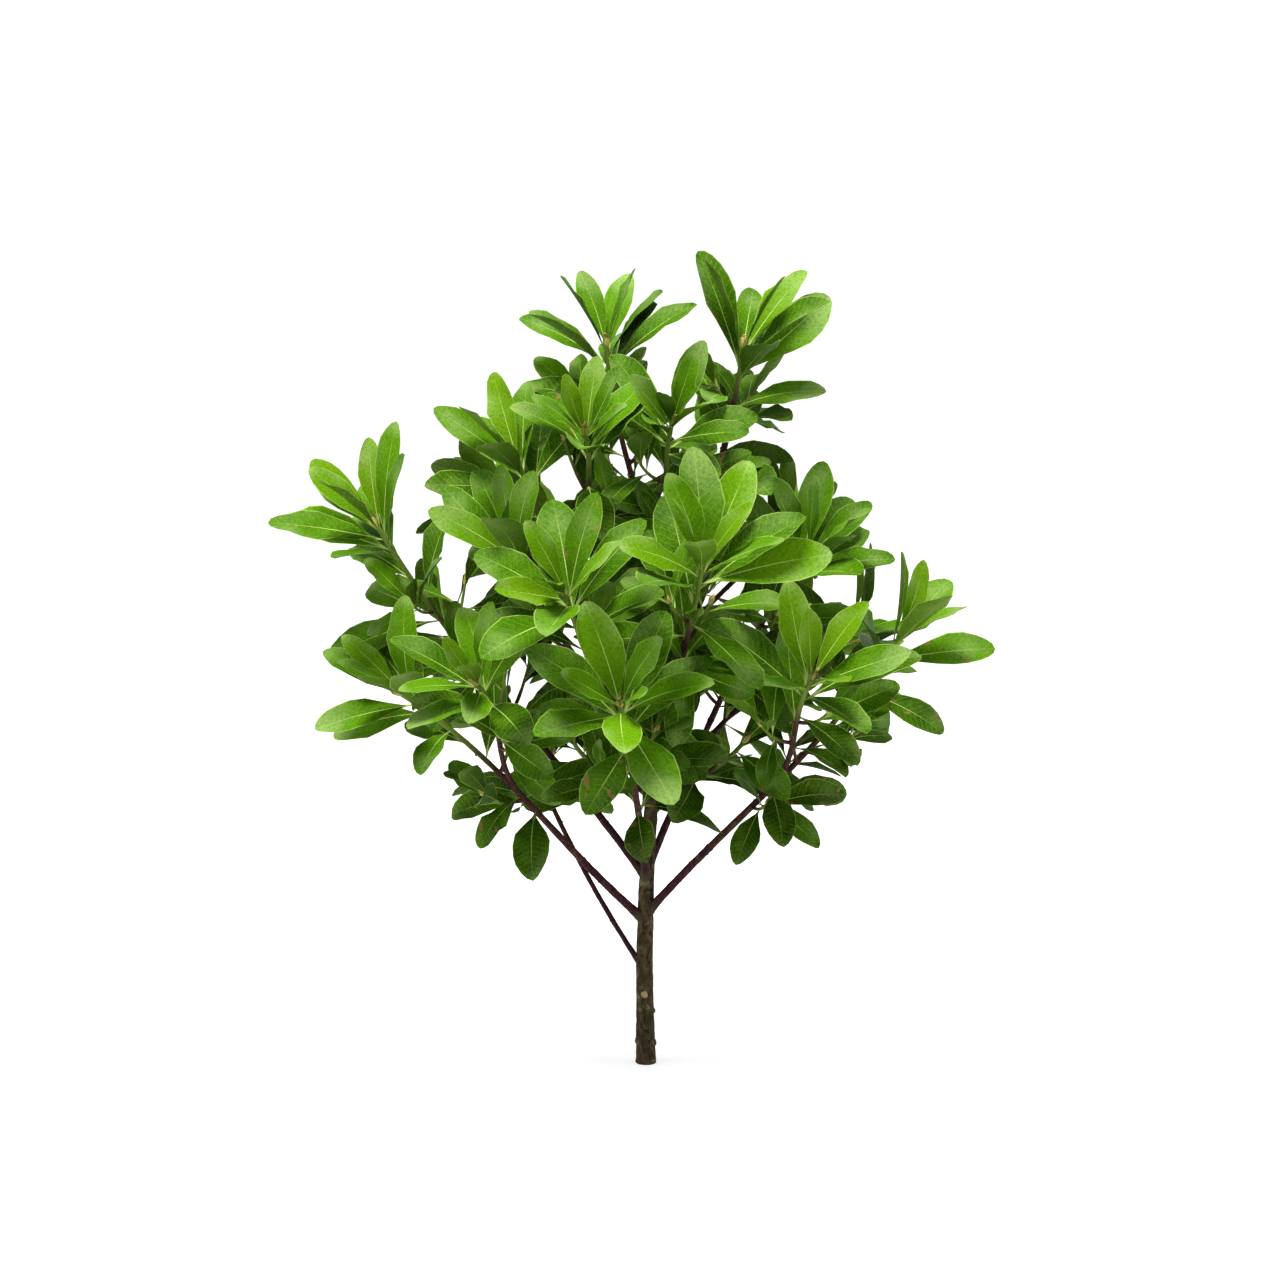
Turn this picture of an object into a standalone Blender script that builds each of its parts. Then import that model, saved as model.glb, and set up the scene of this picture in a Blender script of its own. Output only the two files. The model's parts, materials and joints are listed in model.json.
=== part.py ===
"""A young pittosporum shrub, rooted in the ground: a slim trunk, the boughs that leave it, and on each
bough's end a mass of leafy shoots. Metres, +Z up, with the origin in the flat cut at ground level and
the shrub's front towards -Y."""

import math
import random
from collections import namedtuple

import bpy
from mathutils import Matrix, Vector
from mathutils.bvhtree import BVHTree

# Driving dimensions of the whole shrub
SHRUB_HEIGHT = 0.712
CROWN_REACH = 0.310
TRUNK_HEIGHT = 0.500
TRUNK_RADIUS = 0.0081
LEAF_LENGTH = 0.096

# Trunk: nearly upright to the lowest boughs, then leaning to the right
TRUNK_TIP_RADIUS = 0.0034
TRUNK_SIDES = 10
TRUNK_RINGS = 18
TRUNK_LEAN = 0.052
TRUNK_LEAN_POWER = 2.8
TRUNK_SWAY = 0.0018
FLARE_WIDTH = 0.0012
FLARE_HEIGHT = 0.020
STUB_HEIGHT = 0.064
STUB_RADIUS = 0.0030
STUB_PROUD = 0.0018

# Boughs and twigs
BOUGH_SIDES = 6
BOUGH_RINGS = 7
TWIG_SIDES = 3
TWIG_RINGS = 6
TWIG_SHARES = (0, 0.10, 0.30, 0.50, 0.72, 1)
TWIG_RADIUS = 0.0025
TWIG_TIP_RADIUS = 0.0021
TWIG_ROOT_RADIUS = 0.0014
BUD_LENGTH = 0.006
JOINT_GAP = 0.0003

# Leaves: obovate blades on a short stalk, in a spiral that crowds towards each shoot's tip
LEAF_STATIONS = (0.62, 0.88)
OLD_WIDTH_SHARE = 0.40
YOUNG_WIDTH_SHARE = 0.31
LEAF_THICKNESS = 0.0014
STALK_SHARE = 0.06
STALK_HALF_WIDTH = 0.0010
BASE_POWER = 1.35
TIP_POWER = 0.62
SPIRAL_TURN = math.radians(137.5)
ROSETTE_DEPTH = 0.030
STEM_LEAF_STEP = 0.021
STEM_LEAF_SIZE = 0.88
YOUNG_SHRINK = 0.30
WHORL_STEP = 0.003
WHORL_SPREAD = 1.7
WHORL_ANGLE = math.radians(76)
OLDEST_ANGLE = math.radians(56)
YOUNGEST_ANGLE = math.radians(16)
BLADE_FROM = 0.30
CLEARANCE = 0.0008
LIGHT_LEAN = 0.85
LIGHT_TURN = math.radians(42)
FRONT_HALF = 0.02
NUDGES = (
    (0, 0), (14, 0), (-14, 0), (0, 12), (0, -12), (24, 8), (-24, 8), (34, -10), (-34, -10),
    (50, 0), (-50, 0), (0, 24), (0, -24), (66, 8), (-66, 8),
)

# The sky gaps: where one sees through the crown from the front, as measured by eye on the photograph. Each
# runs from one place to another on the upright plane through the trunk, and is this wide to each side.
VIEW_POINT = Vector((-0.005, -2.265, 0.780))
Gap = namedtuple("Gap", "across height across_end height_end radius")
SKY_GAPS = (
    Gap(0.018, 0.170, 0.035, 0.200, 0.013),
    Gap(-0.020, 0.160, -0.065, 0.225, 0.009),
    Gap(-0.020, 0.217, -0.022, 0.228, 0.006),
    Gap(0.058, 0.242, 0.075, 0.236, 0.009),
    Gap(-0.125, 0.270, -0.160, 0.295, 0.007),
    Gap(-0.069, 0.280, -0.062, 0.276, 0.007),
    Gap(0.083, 0.286, 0.088, 0.278, 0.005),
    Gap(0.120, 0.282, 0.132, 0.298, 0.004),
    Gap(0.075, 0.310, 0.076, 0.302, 0.008),
    Gap(0.052, 0.308, 0.055, 0.325, 0.007),
    Gap(0.140, 0.310, 0.145, 0.310, 0.005),
    Gap(-0.230, 0.330, -0.215, 0.328, 0.005),
    Gap(-0.105, 0.325, -0.110, 0.355, 0.005),
    Gap(0.153, 0.335, 0.160, 0.335, 0.005),
    Gap(-0.070, 0.380, -0.071, 0.375, 0.006),
    Gap(0.087, 0.377, 0.090, 0.387, 0.005),
    Gap(0.228, 0.380, 0.252, 0.387, 0.004),
    Gap(-0.190, 0.398, -0.180, 0.388, 0.006),
    Gap(0.206, 0.402, 0.202, 0.435, 0.006),
    Gap(0.040, 0.412, 0.060, 0.424, 0.006),
    Gap(0.077, 0.420, 0.074, 0.430, 0.006),
    Gap(0.155, 0.420, 0.172, 0.423, 0.008),
    Gap(-0.148, 0.416, -0.147, 0.427, 0.006),
    Gap(-0.167, 0.424, -0.165, 0.448, 0.008),
    Gap(-0.207, 0.460, -0.198, 0.525, 0.007),
    Gap(-0.070, 0.510, -0.070, 0.525, 0.011),
    Gap(-0.018, 0.528, -0.020, 0.539, 0.007),
    Gap(0.006, 0.525, 0.005, 0.537, 0.006),
    Gap(0.030, 0.558, 0.034, 0.567, 0.005),
    Gap(0.015, 0.600, 0.028, 0.645, 0.006),
    Gap(0.068, 0.622, 0.055, 0.645, 0.006),
    Gap(-0.048, 0.640, -0.070, 0.662, 0.004),
)
GAP_STATIONS = (0.3, 0.45, 0.6, 0.72, 0.84, 0.94, 1)

# Turn is the angle in plan from +X, in degrees. Reach and height are shares of the crown's and the shrub's.
# Lean is how far the shoot's tip leans outward from upright, in degrees.
# First is the turn of a shoot's lowest leaf round the shoot, and stem_leaves are those below its rosette.
Shoot = namedtuple("Shoot", "turn reach height lean leaves stem_leaves first seed size")

# The older leaves that stand round a limb just below its fork, the last of them a way down the limb
Whorl = namedtuple("Whorl", "leaves first seed")

# A limb grows from its parent's side. Foot is a height on the trunk or a share of the parent bough.
# Heading and rise give its first direction, in degrees, and bare is the share of it that is a bough.
Limb = namedtuple("Limb", "name parent foot heading rise bare radius fork whorl shoots")

LIMBS = (
    Limb("left_low", "trunk", 0.130, 206, 42, 0.27, 0.0039, 0.56, Whorl(5, 350, 131), (
        Shoot(-158, 0.71, 0.49, 55, 10, 3, 240, 383, 1.00),
        Shoot(-126, 0.74, 0.53, 48, 10, 3, 95, 352, 0.90),
    )),
    Limb("right_low", "trunk", 0.135, -27, 50, 0.26, 0.0039, 0.51, Whorl(5, 240, 14), (
        Shoot(-17, 0.71, 0.55, 32, 9, 3, 145, 383, 1.07),
        Shoot(-51, 0.68, 0.53, 34, 10, 2, 265, 378, 1.04),
    )),
    Limb("front_low", "trunk", 0.168, -95, 48, 0.16, 0.0038, 0.42, Whorl(5, 40, 156), (
        Shoot(-95, 0.76, 0.52, 52, 10, 5, 20, 262, 1.09),
    )),
    Limb("left_middle", "trunk", 0.168, 150, 48, 0.46, 0.0036, 0.62, Whorl(3, 350, 201), (
        Shoot(-170, 0.74, 0.68, 30, 11, 3, 90, 151, 1.14),
    )),
    Limb("right_middle", "trunk", 0.176, 42, 58, 0.46, 0.0036, 0.62, Whorl(3, 140, 214), (
        Shoot(-23, 0.48, 0.65, 38, 11, 3, 95, 175, 1.03),
    )),
    Limb("front_left", "trunk", 0.250, -112, 40, 0.30, 0.0034, 0.45, Whorl(3, 60, 22), (
        Shoot(-106, 0.74, 0.64, 42, 10, 3, 245, 98, 1.04),
        Shoot(-130, 0.55, 0.67, 28, 9, 2, 350, 72, 1.03),
    )),
    Limb("front_right", "trunk", 0.300, -78, 42, 0.30, 0.0034, 0.50, Whorl(3, 100, 159), (
        Shoot(-79, 0.73, 0.67, 38, 11, 4, 220, 21, 1.12),
    )),
    Limb("upper_left", "trunk", 0.345, -168, 50, 0.30, 0.0032, 0.45, Whorl(2, 90, 87), (
        Shoot(-149, 0.40, 0.76, 24, 10, 3, 260, 39, 1.10),
        Shoot(-112, 0.42, 0.80, 26, 10, 3, 120, 364, 0.93),
    )),
    Limb("upper_middle", "trunk", 0.385, -95, 56, 0.30, 0.0028, 0.50, Whorl(1, 230, 389), (
        Shoot(-78, 0.32, 0.81, 42, 11, 3, 55, 314, 0.94),
    )),
    Limb("top_left", "trunk", 0.410, -170, 66, 0.36, 0.0032, 0.50, Whorl(2, 100, 308), (
        Shoot(-154, 0.12, 0.89, 6, 10, 5, 240, 358, 1.06),
    )),
    Limb("top_right", "trunk", TRUNK_HEIGHT, 0, 74, 0.0, TRUNK_TIP_RADIUS, 0.50, Whorl(0, 0, 1), (
        Shoot(-21, 0.28, 0.89, 8, 10, 5, 290, 64, 1.09),
    )),
    Limb("inner_right", "trunk", 0.225, -25, 52, 0.30, 0.0028, 0.50, Whorl(2, 70, 89), (
        Shoot(-27, 0.30, 0.42, 38, 6, 1, 225, 344, 1.14),
    )),
    Limb("inner_left", "trunk", 0.238, 205, 52, 0.30, 0.0028, 0.50, Whorl(2, 280, 55), (
        Shoot(-146, 0.24, 0.42, 30, 6, 1, 210, 205, 0.84),
    )),
    Limb("back_left_low", "trunk", 0.084, 150, 50, 0.40, 0.0024, 0.62, Whorl(3, 270, 265), (
        Shoot(133, 0.69, 0.48, 33, 10, 3, 155, 95, 0.98),
        Shoot(156, 0.64, 0.54, 26, 9, 1, 350, 298, 1.00),
    )),
    Limb("back_right_low", "right_middle", 0.26, 66, 40, 0.30, 0.0028, 0.45, Whorl(3, 160, 192), (
        Shoot(51, 0.67, 0.49, 42, 10, 3, 270, 158, 1.06),
        Shoot(14, 0.63, 0.55, 23, 10, 2, 90, 58, 0.94),
    )),
    Limb("back_low", "trunk", 0.200, 92, 52, 0.30, 0.0034, 0.50, Whorl(4, 280, 35), (
        Shoot(83, 0.72, 0.50, 34, 11, 3, 270, 369, 1.00),
    )),
    Limb("back_left", "trunk", 0.275, 118, 48, 0.30, 0.0032, 0.45, Whorl(2, 160, 363), (
        Shoot(112, 0.66, 0.62, 27, 10, 3, 290, 70, 1.04),
        Shoot(144, 0.50, 0.69, 26, 10, 2, 40, 25, 1.02),
    )),
    Limb("back_right", "trunk", 0.325, 64, 48, 0.30, 0.0032, 0.45, Whorl(2, 110, 194), (
        Shoot(72, 0.64, 0.63, 24, 10, 3, 280, 228, 1.00),
        Shoot(40, 0.53, 0.67, 25, 10, 1, 280, 185, 0.84),
    )),
    Limb("back_upper", "trunk", 0.405, 100, 58, 0.30, 0.0030, 0.40, Whorl(1, 50, 36), (
        Shoot(109, 0.39, 0.78, 7, 10, 3, 195, 251, 0.98),
        Shoot(61, 0.36, 0.77, 4, 9, 1, 135, 187, 0.98),
    )),
)

UP = Vector((0, 0, 1))
Curve = namedtuple("Curve", "start leaving arriving end")
Leaf = namedtuple("Leaf", "root way up length width arch")


def heading_to(turn, rise):
    """The direction at this turn in plan and this rise above level, in radians."""
    return Vector((math.cos(turn) * math.cos(rise), math.sin(turn) * math.cos(rise), math.sin(rise)))


def blend(a, b, share):
    return a + (b - a) * share


def point_on(curve, share):
    """A point of the cubic curve through its two ends and two handles."""
    rest = 1 - share
    return (
        curve.start * rest**3
        + curve.leaving * (3 * rest**2 * share)
        + curve.arriving * (3 * rest * share**2)
        + curve.end * share**3
    )


def way_on(curve, share):
    """The direction of the curve, at this share of it."""
    rest = 1 - share
    slope = (
        (curve.leaving - curve.start) * rest**2
        + (curve.arriving - curve.leaving) * (2 * rest * share)
        + (curve.end - curve.arriving) * share**2
    )
    return slope.normalized()


def chord_point(curve, share, stations):
    """The point at this share, on the straight pieces that the curve's tube is made of."""
    for low, high in zip(stations, stations[1:]):
        if share <= high:
            inside = (share - low) / (high - low)
            return blend(point_on(curve, low), point_on(curve, high), inside)
    return point_on(curve, stations[-1])


def length_of(curve, steps=24):
    points = [point_on(curve, i / steps) for i in range(steps + 1)]
    return sum((b - a).length for a, b in zip(points, points[1:]))


def across(way):
    """A level direction square to this one."""
    side = way.cross(UP)
    return side.normalized() if side.length > 1e-3 else Vector((1, 0, 0))


def tube(points, ways, radii, sides):
    """Vertices and faces of a closed tapering tube, its rings carried along without twist."""
    verts, faces = [], []
    side = across(ways[0])
    for point, way, radius in zip(points, ways, radii):
        side = (side - way * side.dot(way)).normalized()
        other = way.cross(side)
        for i in range(sides):
            angle = 2 * math.pi * i / sides
            verts.append(point + (side * math.cos(angle) + other * math.sin(angle)) * radius)
    for ring in range(len(points) - 1):
        low, high = ring * sides, (ring + 1) * sides
        for i in range(sides):
            j = (i + 1) % sides
            faces.append((low + i, low + j, high + j, high + i))
    faces.append(tuple(reversed(range(sides))))
    faces.append(tuple(range((len(points) - 1) * sides, len(points) * sides)))
    return verts, faces


def trunk_centre(height):
    """The trunk's centre line: a slow lean to the right that starts above the lowest boughs."""
    share = height / TRUNK_HEIGHT
    sway = TRUNK_SWAY * math.sin(5 * share)
    return Vector((TRUNK_LEAN * share**TRUNK_LEAN_POWER - sway, sway * share, height))


def trunk_radius(height):
    """The trunk's taper, with the root flare at the ground."""
    share = height / TRUNK_HEIGHT
    flare = FLARE_WIDTH * math.exp(-height / FLARE_HEIGHT)
    return blend(TRUNK_RADIUS, TRUNK_TIP_RADIUS, share**1.15) + flare


def trunk_way(height):
    """The trunk's direction, which is upright at the flat cut."""
    step = 0.001
    return (trunk_centre(height + step) - trunk_centre(max(0, height - step))).normalized() if height else UP


def trunk_mesh(grow=0.0):
    """The trunk from its flat cut to its tip. Grow makes it thicker all round, as a cutter."""
    heights = [TRUNK_HEIGHT * (i / TRUNK_RINGS) ** 1.1 for i in range(TRUNK_RINGS + 1)]
    centres = [trunk_centre(h) for h in heights]
    ways = [trunk_way(h) for h in heights]
    centres[-1] += ways[-1] * grow
    return tube(centres, ways, [trunk_radius(h) + grow for h in heights], TRUNK_SIDES)


def tip_of(shoot):
    turn = math.radians(shoot.turn)
    out = shoot.reach * CROWN_REACH
    return Vector((math.cos(turn) * out, math.sin(turn) * out, shoot.height * SHRUB_HEIGHT))


def axis_of(shoot):
    return heading_to(math.radians(shoot.turn), math.radians(90 - shoot.lean))


def curve_between(start, leaving, shoot, pull=0.36):
    """The line of a limb or twig that leaves in one direction and ends along its shoot's axis."""
    end = tip_of(shoot)
    reach = (end - start).length
    return Curve(start, start + leaving * reach * pull, end - axis_of(shoot) * reach * pull, end)


def limb_curves():
    """The line of each limb, from inside its parent to the tip of its first shoot."""
    curves = {}
    for limb in LIMBS:
        if limb.parent == "trunk":
            start = trunk_centre(limb.foot)
        else:
            start = point_on(curves[limb.parent], limb.foot)
        leaving = heading_to(math.radians(limb.heading), math.radians(limb.rise))
        curves[limb.name] = curve_between(start, leaving, limb.shoots[0])
    return curves


def limb_radius(limb, share):
    """The taper of a limb, from its foot to the end of its bare part and on to the tip."""
    return blend(limb.radius, TWIG_TIP_RADIUS, min(1, share * 1.15) ** 0.8)


def bough_mesh(limb, curve, grow=0.0):
    shares = [limb.bare * i / (BOUGH_RINGS - 1) for i in range(BOUGH_RINGS)]
    return tube(
        [point_on(curve, s) for s in shares],
        [way_on(curve, s) for s in shares],
        [limb_radius(limb, s) + grow for s in shares],
        BOUGH_SIDES,
    )


def stem_shares(limb, first):
    return [blend(first, 1, i / TWIG_RINGS) for i in range(TWIG_RINGS + 1)]


def stem_mesh(limb, curve):
    """The leafy part of a limb, which starts a joint's gap past the bough's end and ends in a bud."""
    gap = JOINT_GAP / length_of(curve)
    shares = stem_shares(limb, limb.bare + gap)
    points = [point_on(curve, s) for s in shares]
    ways = [way_on(curve, s) for s in shares]
    radii = [limb_radius(limb, s) for s in shares]
    return budded(points, ways, radii)


def twig_mesh(curve):
    """A side twig, rooted inside the stem that it forks from."""
    radii = [TWIG_ROOT_RADIUS] + [blend(TWIG_RADIUS, TWIG_TIP_RADIUS, s) for s in TWIG_SHARES[1:]]
    return budded([point_on(curve, s) for s in TWIG_SHARES], [way_on(curve, s) for s in TWIG_SHARES], radii)


def budded(points, ways, radii):
    """A twig closed by its pointed end bud."""
    points = points + [points[-1] + ways[-1] * BUD_LENGTH]
    return tube(points, ways + [ways[-1]], radii + [radii[-1] * 0.3], TWIG_SIDES)


def blade_share(share):
    """The blade's half width at this share of the leaf's length, as a share of its widest."""
    along = max(0.0, (share - STALK_SHARE) / (1 - STALK_SHARE))
    widest = BASE_POWER / (BASE_POWER + TIP_POWER)
    most = widest**BASE_POWER * (1 - widest) ** TIP_POWER
    return along**BASE_POWER * (1 - along) ** TIP_POWER / most


def leaf_section(leaf, share):
    """The point, the direction and the upper side of the midrib, which arches over in a plain arc."""
    bent = leaf.arch * share
    ahead = leaf.length * (math.sin(bent) / leaf.arch)
    down = leaf.length * ((1 - math.cos(bent)) / leaf.arch)
    point = leaf.root + leaf.way * ahead - leaf.up * down
    way = leaf.way * math.cos(bent) - leaf.up * math.sin(bent)
    up = leaf.up * math.cos(bent) + leaf.way * math.sin(bent)
    return point, way, up


def leaf_ring(leaf, share, margin=0.0):
    """A section of the blade: its left edge, its right edge and the midrib under them, widened by a margin."""
    point, _, up = leaf_section(leaf, share)
    side = leaf.way.cross(leaf.up)
    half = max(STALK_HALF_WIDTH, leaf.width / 2 * blade_share(share)) + margin
    rise = up * (LEAF_THICKNESS / 2)
    left, right, below = point + rise - side * half, point + rise + side * half, point - rise - up * margin
    return [left, point + rise + up * margin, right, below] if margin else [left, right, below]


def leaf_mesh(leaf, first=0.0, margin=0.0):
    """A thin closed blade. As a test shape it starts this share along the leaf and has a margin all round."""
    rings = [leaf_ring(leaf, share, margin) for share in (0, *LEAF_STATIONS)]
    if first:
        rings[0] = [blend(a, b, first / LEAF_STATIONS[0]) for a, b in zip(rings[0], rings[1])]
    tip, way, _ = leaf_section(leaf, 1)
    verts = [v for ring in rings for v in ring] + [tip + way * margin]
    sides = len(rings[0])
    faces = [tuple(reversed(range(sides)))]
    for ring in range(len(rings) - 1):
        low, high = ring * sides, (ring + 1) * sides
        faces += [(low + i, low + (i + 1) % sides, high + (i + 1) % sides, high + i) for i in range(sides)]
    faces += [(high + i, high + (i + 1) % sides, high + sides) for i in range(sides)]
    return verts, faces


def tree_of(mesh):
    return BVHTree.FromPolygons(*mesh)


def light_on(point):
    """The side that a leaf here turns to: up, and out of the crown, or to the front in its front half."""
    out = Vector((point.x, point.y, 0)).normalized()
    if point.y < FRONT_HALF:
        out = Vector((0.35 * out.x, -1, 0))
    return (UP + out * LIGHT_LEAN).normalized()


def shoot_leaves(curve, stations, shoot):
    """Where each leaf of a shoot is and how it points, from the lowest to the youngest, by a seeded rule."""
    chance = random.Random(shoot.seed)
    length = length_of(curve)
    for i in range(shoot.leaves + shoot.stem_leaves):
        in_rosette = i - shoot.stem_leaves
        age = 1.0 if in_rosette < 0 else 1 - in_rosette / max(1, shoot.leaves - 1)
        below = 0.002 + ROSETTE_DEPTH * age**1.4 + STEM_LEAF_STEP * max(0, -in_rosette)
        angle = blend(YOUNGEST_ANGLE, OLDEST_ANGLE, age**0.75) + math.radians(chance.uniform(-8, 8))
        spin = math.radians(shoot.first + chance.uniform(-16, 16)) + SPIRAL_TURN * i
        size = shoot.size * (1 - YOUNG_SHRINK * (1 - age) ** 2) * chance.uniform(0.88, 1.08)
        if in_rosette < 0:
            size *= STEM_LEAF_SIZE
        share = 1 - below / length
        if share > stations[0] + 0.03:
            yield leaf_place(curve, stations, share, angle, spin, size, age, chance)


def whorl_leaves(curve, stations, fork, whorl):
    """The older leaves round a limb below its fork, each further down than the one before it."""
    chance = random.Random(whorl.seed)
    length = length_of(curve)
    for i in range(whorl.leaves):
        share = fork - WHORL_STEP * WHORL_SPREAD**i / length
        angle = WHORL_ANGLE + math.radians(chance.uniform(-22, 22))
        spin = math.radians(whorl.first + chance.uniform(-25, 25)) + SPIRAL_TURN * i
        size = STEM_LEAF_SIZE * chance.uniform(0.82, 1.10)
        if share > stations[0] + 0.03:
            yield leaf_place(curve, stations, share, angle, spin, size, 1.0, chance)


def leaf_place(curve, stations, share, angle, spin, size, age, chance):
    root, axis = chord_point(curve, share, stations), way_on(curve, share)
    length = LEAF_LENGTH * size
    width = length * blend(YOUNG_WIDTH_SHARE, OLD_WIDTH_SHARE, age) * chance.uniform(0.92, 1.10)
    arch = math.radians(blend(12, 32, age) * chance.uniform(0.6, 1.2))
    roll = math.radians(chance.uniform(-14, 14))
    return root, axis, angle, spin, length, width, arch, roll, light_on(root)


def aimed_leaf(place, spin_nudge=0, angle_nudge=0):
    """The leaf at a place, turned by these degrees. Its upper side faces the tip, then turns to the light."""
    root, axis, angle, spin, size, width, arch, roll, light = place
    angle += math.radians(angle_nudge)
    spin += math.radians(spin_nudge)
    level = across(axis)
    out = level * math.cos(spin) + axis.cross(level) * math.sin(spin)
    way = axis * math.cos(angle) + out * math.sin(angle)
    up = axis * math.sin(angle) - out * math.cos(angle)
    lit = light - way * light.dot(way)
    to_light = math.atan2(way.dot(up.cross(lit)), up.dot(lit))
    roll += max(-LIGHT_TURN, min(LIGHT_TURN, to_light))
    return Leaf(root, way, Matrix.Rotation(roll, 3, way) @ up, size, width, arch)


def seen_at(point):
    """Where a point is seen from the front, on the upright plane through the trunk."""
    seen = VIEW_POINT + (point - VIEW_POINT) * (VIEW_POINT.y / (VIEW_POINT.y - point.y))
    return Vector((seen.x, seen.z))


def far_from(spot, gap):
    """How far a spot lies from the middle line of a gap."""
    start, end = Vector((gap.across, gap.height)), Vector((gap.across_end, gap.height_end))
    along = end - start
    share = max(0, min(1, (spot - start).dot(along) / along.length_squared))
    return (spot - start - along * share).length


def in_gap(leaf):
    """Whether the blade stands in a sky gap."""
    middle = seen_at(leaf_section(leaf, 0.6)[0])
    near = [gap for gap in SKY_GAPS if far_from(middle, gap) < gap.radius + leaf.length * 0.6]
    side = leaf.way.cross(leaf.up)
    for share in GAP_STATIONS if near else ():
        point, half = leaf_section(leaf, share)[0], leaf.width / 2 * blade_share(share)
        for out in (-1, -0.5, 0, 0.5, 1):
            spot = seen_at(point + side * half * out)
            if any(far_from(spot, gap) < gap.radius for gap in near):
                return True
    return False


class Crown:
    """The shapes that a new leaf has to keep clear of."""

    def __init__(self):
        self.limbs = []
        self.twigs = {}
        self.leaves = []

    def clear(self, leaf, owner):
        if in_gap(leaf):
            return False
        middle, reach = leaf_section(leaf, 0.5)[0], leaf.length * 0.56
        whole = tree_of(leaf_mesh(leaf, STALK_SHARE, CLEARANCE))
        blade = tree_of(leaf_mesh(leaf, BLADE_FROM, CLEARANCE))
        if any(whole.overlap(limb) for limb in self.limbs):
            return False
        for name, tree in self.twigs.items():
            if (blade if name.startswith(owner + ":") else whole).overlap(tree):
                return False
        for name, centre, far, tree, tree_blade in self.leaves:
            if (centre - middle).length > far + reach:
                continue
            if name == owner and blade.overlap(tree_blade):
                return False
            if name != owner and whole.overlap(tree):
                return False
        return True

    def add(self, leaf, owner):
        middle, reach = leaf_section(leaf, 0.5)[0], leaf.length * 0.56
        whole, blade = tree_of(leaf_mesh(leaf)), tree_of(leaf_mesh(leaf, BLADE_FROM))
        self.leaves.append((owner, middle, reach, whole, blade))


def side_curves(limb, curve):
    """The lines of the twigs that fork from a limb's stem, one for each further shoot."""
    start, way = point_on(curve, limb.fork), way_on(curve, limb.fork)
    found = []
    for shoot in limb.shoots[1:]:
        leaving = (way + (tip_of(shoot) - start).normalized()).normalized()
        found.append(curve_between(start, leaving, shoot, 0.3))
    return found


def grown_leaves(crown, limb, curve, sides):
    """The leaves of one mass: those that keep clear of all else, turned a little where that helps."""
    stations = stem_shares(limb, limb.bare)
    places = list(shoot_leaves(curve, stations, limb.shoots[0]))
    for shoot, side in zip(limb.shoots[1:], sides):
        places += shoot_leaves(side, TWIG_SHARES, shoot)
    places += whorl_leaves(curve, stations, limb.fork, limb.whorl)
    kept = []
    for place in places:
        for nudge in NUDGES:
            leaf = aimed_leaf(place, *nudge)
            if crown.clear(leaf, limb.name):
                crown.add(leaf, limb.name)
                kept.append(leaf)
                break
    return kept


def plain_material(name, colour, roughness):
    material = bpy.data.materials.new(name)
    material.use_nodes = True
    shader = material.node_tree.nodes["Principled BSDF"]
    shader.inputs["Base Color"].default_value = (*colour, 1)
    shader.inputs["Roughness"].default_value = roughness
    shader.inputs["Metallic"].default_value = 0
    material.diffuse_color = (*colour, 1)
    return material


def made_object(name, mesh, material, collection=None):
    data = bpy.data.meshes.new(name)
    data.from_pydata([tuple(v) for v in mesh[0]], [], mesh[1])
    data.materials.append(material)
    data.update()
    made = bpy.data.objects.new(name, data)
    (collection or bpy.context.scene.collection).objects.link(made)
    return made


def apply_boolean(target, operation, tools, solver="EXACT"):
    """Joins the collection's objects to the target or cuts them from it, and removes them."""
    modifier = target.modifiers.new("join", "BOOLEAN")
    modifier.operation = operation
    modifier.solver = solver
    modifier.operand_type = "COLLECTION"
    modifier.collection = tools
    graph = bpy.context.evaluated_depsgraph_get()
    result = bpy.data.meshes.new_from_object(target.evaluated_get(graph))
    target.modifiers.clear()
    result.name = target.name
    target.data = result
    for tool in list(tools.objects):
        bpy.data.objects.remove(tool)
    bpy.data.collections.remove(tools)
    return target


def new_tools(name):
    tools = bpy.data.collections.new(name)
    bpy.context.scene.collection.children.link(tools)
    return tools


def make_trunk(bark):
    trunk = made_object("trunk", trunk_mesh(), bark)
    centre = trunk_centre(STUB_HEIGHT)
    front = Vector((0, -1, 0))
    ends = (0.3 * TRUNK_RADIUS, TRUNK_RADIUS + STUB_PROUD)
    stub = tube([centre + front * e for e in ends], [front, front], [STUB_RADIUS * 1.15, STUB_RADIUS], 8)
    tools = new_tools("pruned stub")
    made_object("stub", stub, bark, tools)
    return apply_boolean(trunk, "UNION", tools)


def make_bough(limb, curve, curves, bark):
    """One bough, its foot cut to the side of the limb that carries it."""
    bough = made_object("bough_" + limb.name, bough_mesh(limb, curve), bark)
    if limb.parent == "trunk":
        parent = trunk_mesh(JOINT_GAP)
    else:
        carrier = next(other for other in LIMBS if other.name == limb.parent)
        parent = bough_mesh(carrier, curves[limb.parent], JOINT_GAP)
    tools = new_tools("seat")
    made_object("parent", parent, bark, tools)
    return apply_boolean(bough, "DIFFERENCE", tools)


def make_foliage(limb, curve, twigs, leaves, bark, green):
    """One mass: its stem with the side twigs and the leaves joined to it."""
    mass = made_object("foliage_" + limb.name, stem_mesh(limb, curve), bark)
    tools = new_tools("shoots")
    for twig in twigs:
        made_object("twig", twig_mesh(twig), bark, tools)
    for leaf in leaves:
        made_object("leaf", leaf_mesh(leaf), green, tools)
    return apply_boolean(mass, "UNION", tools)


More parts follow.
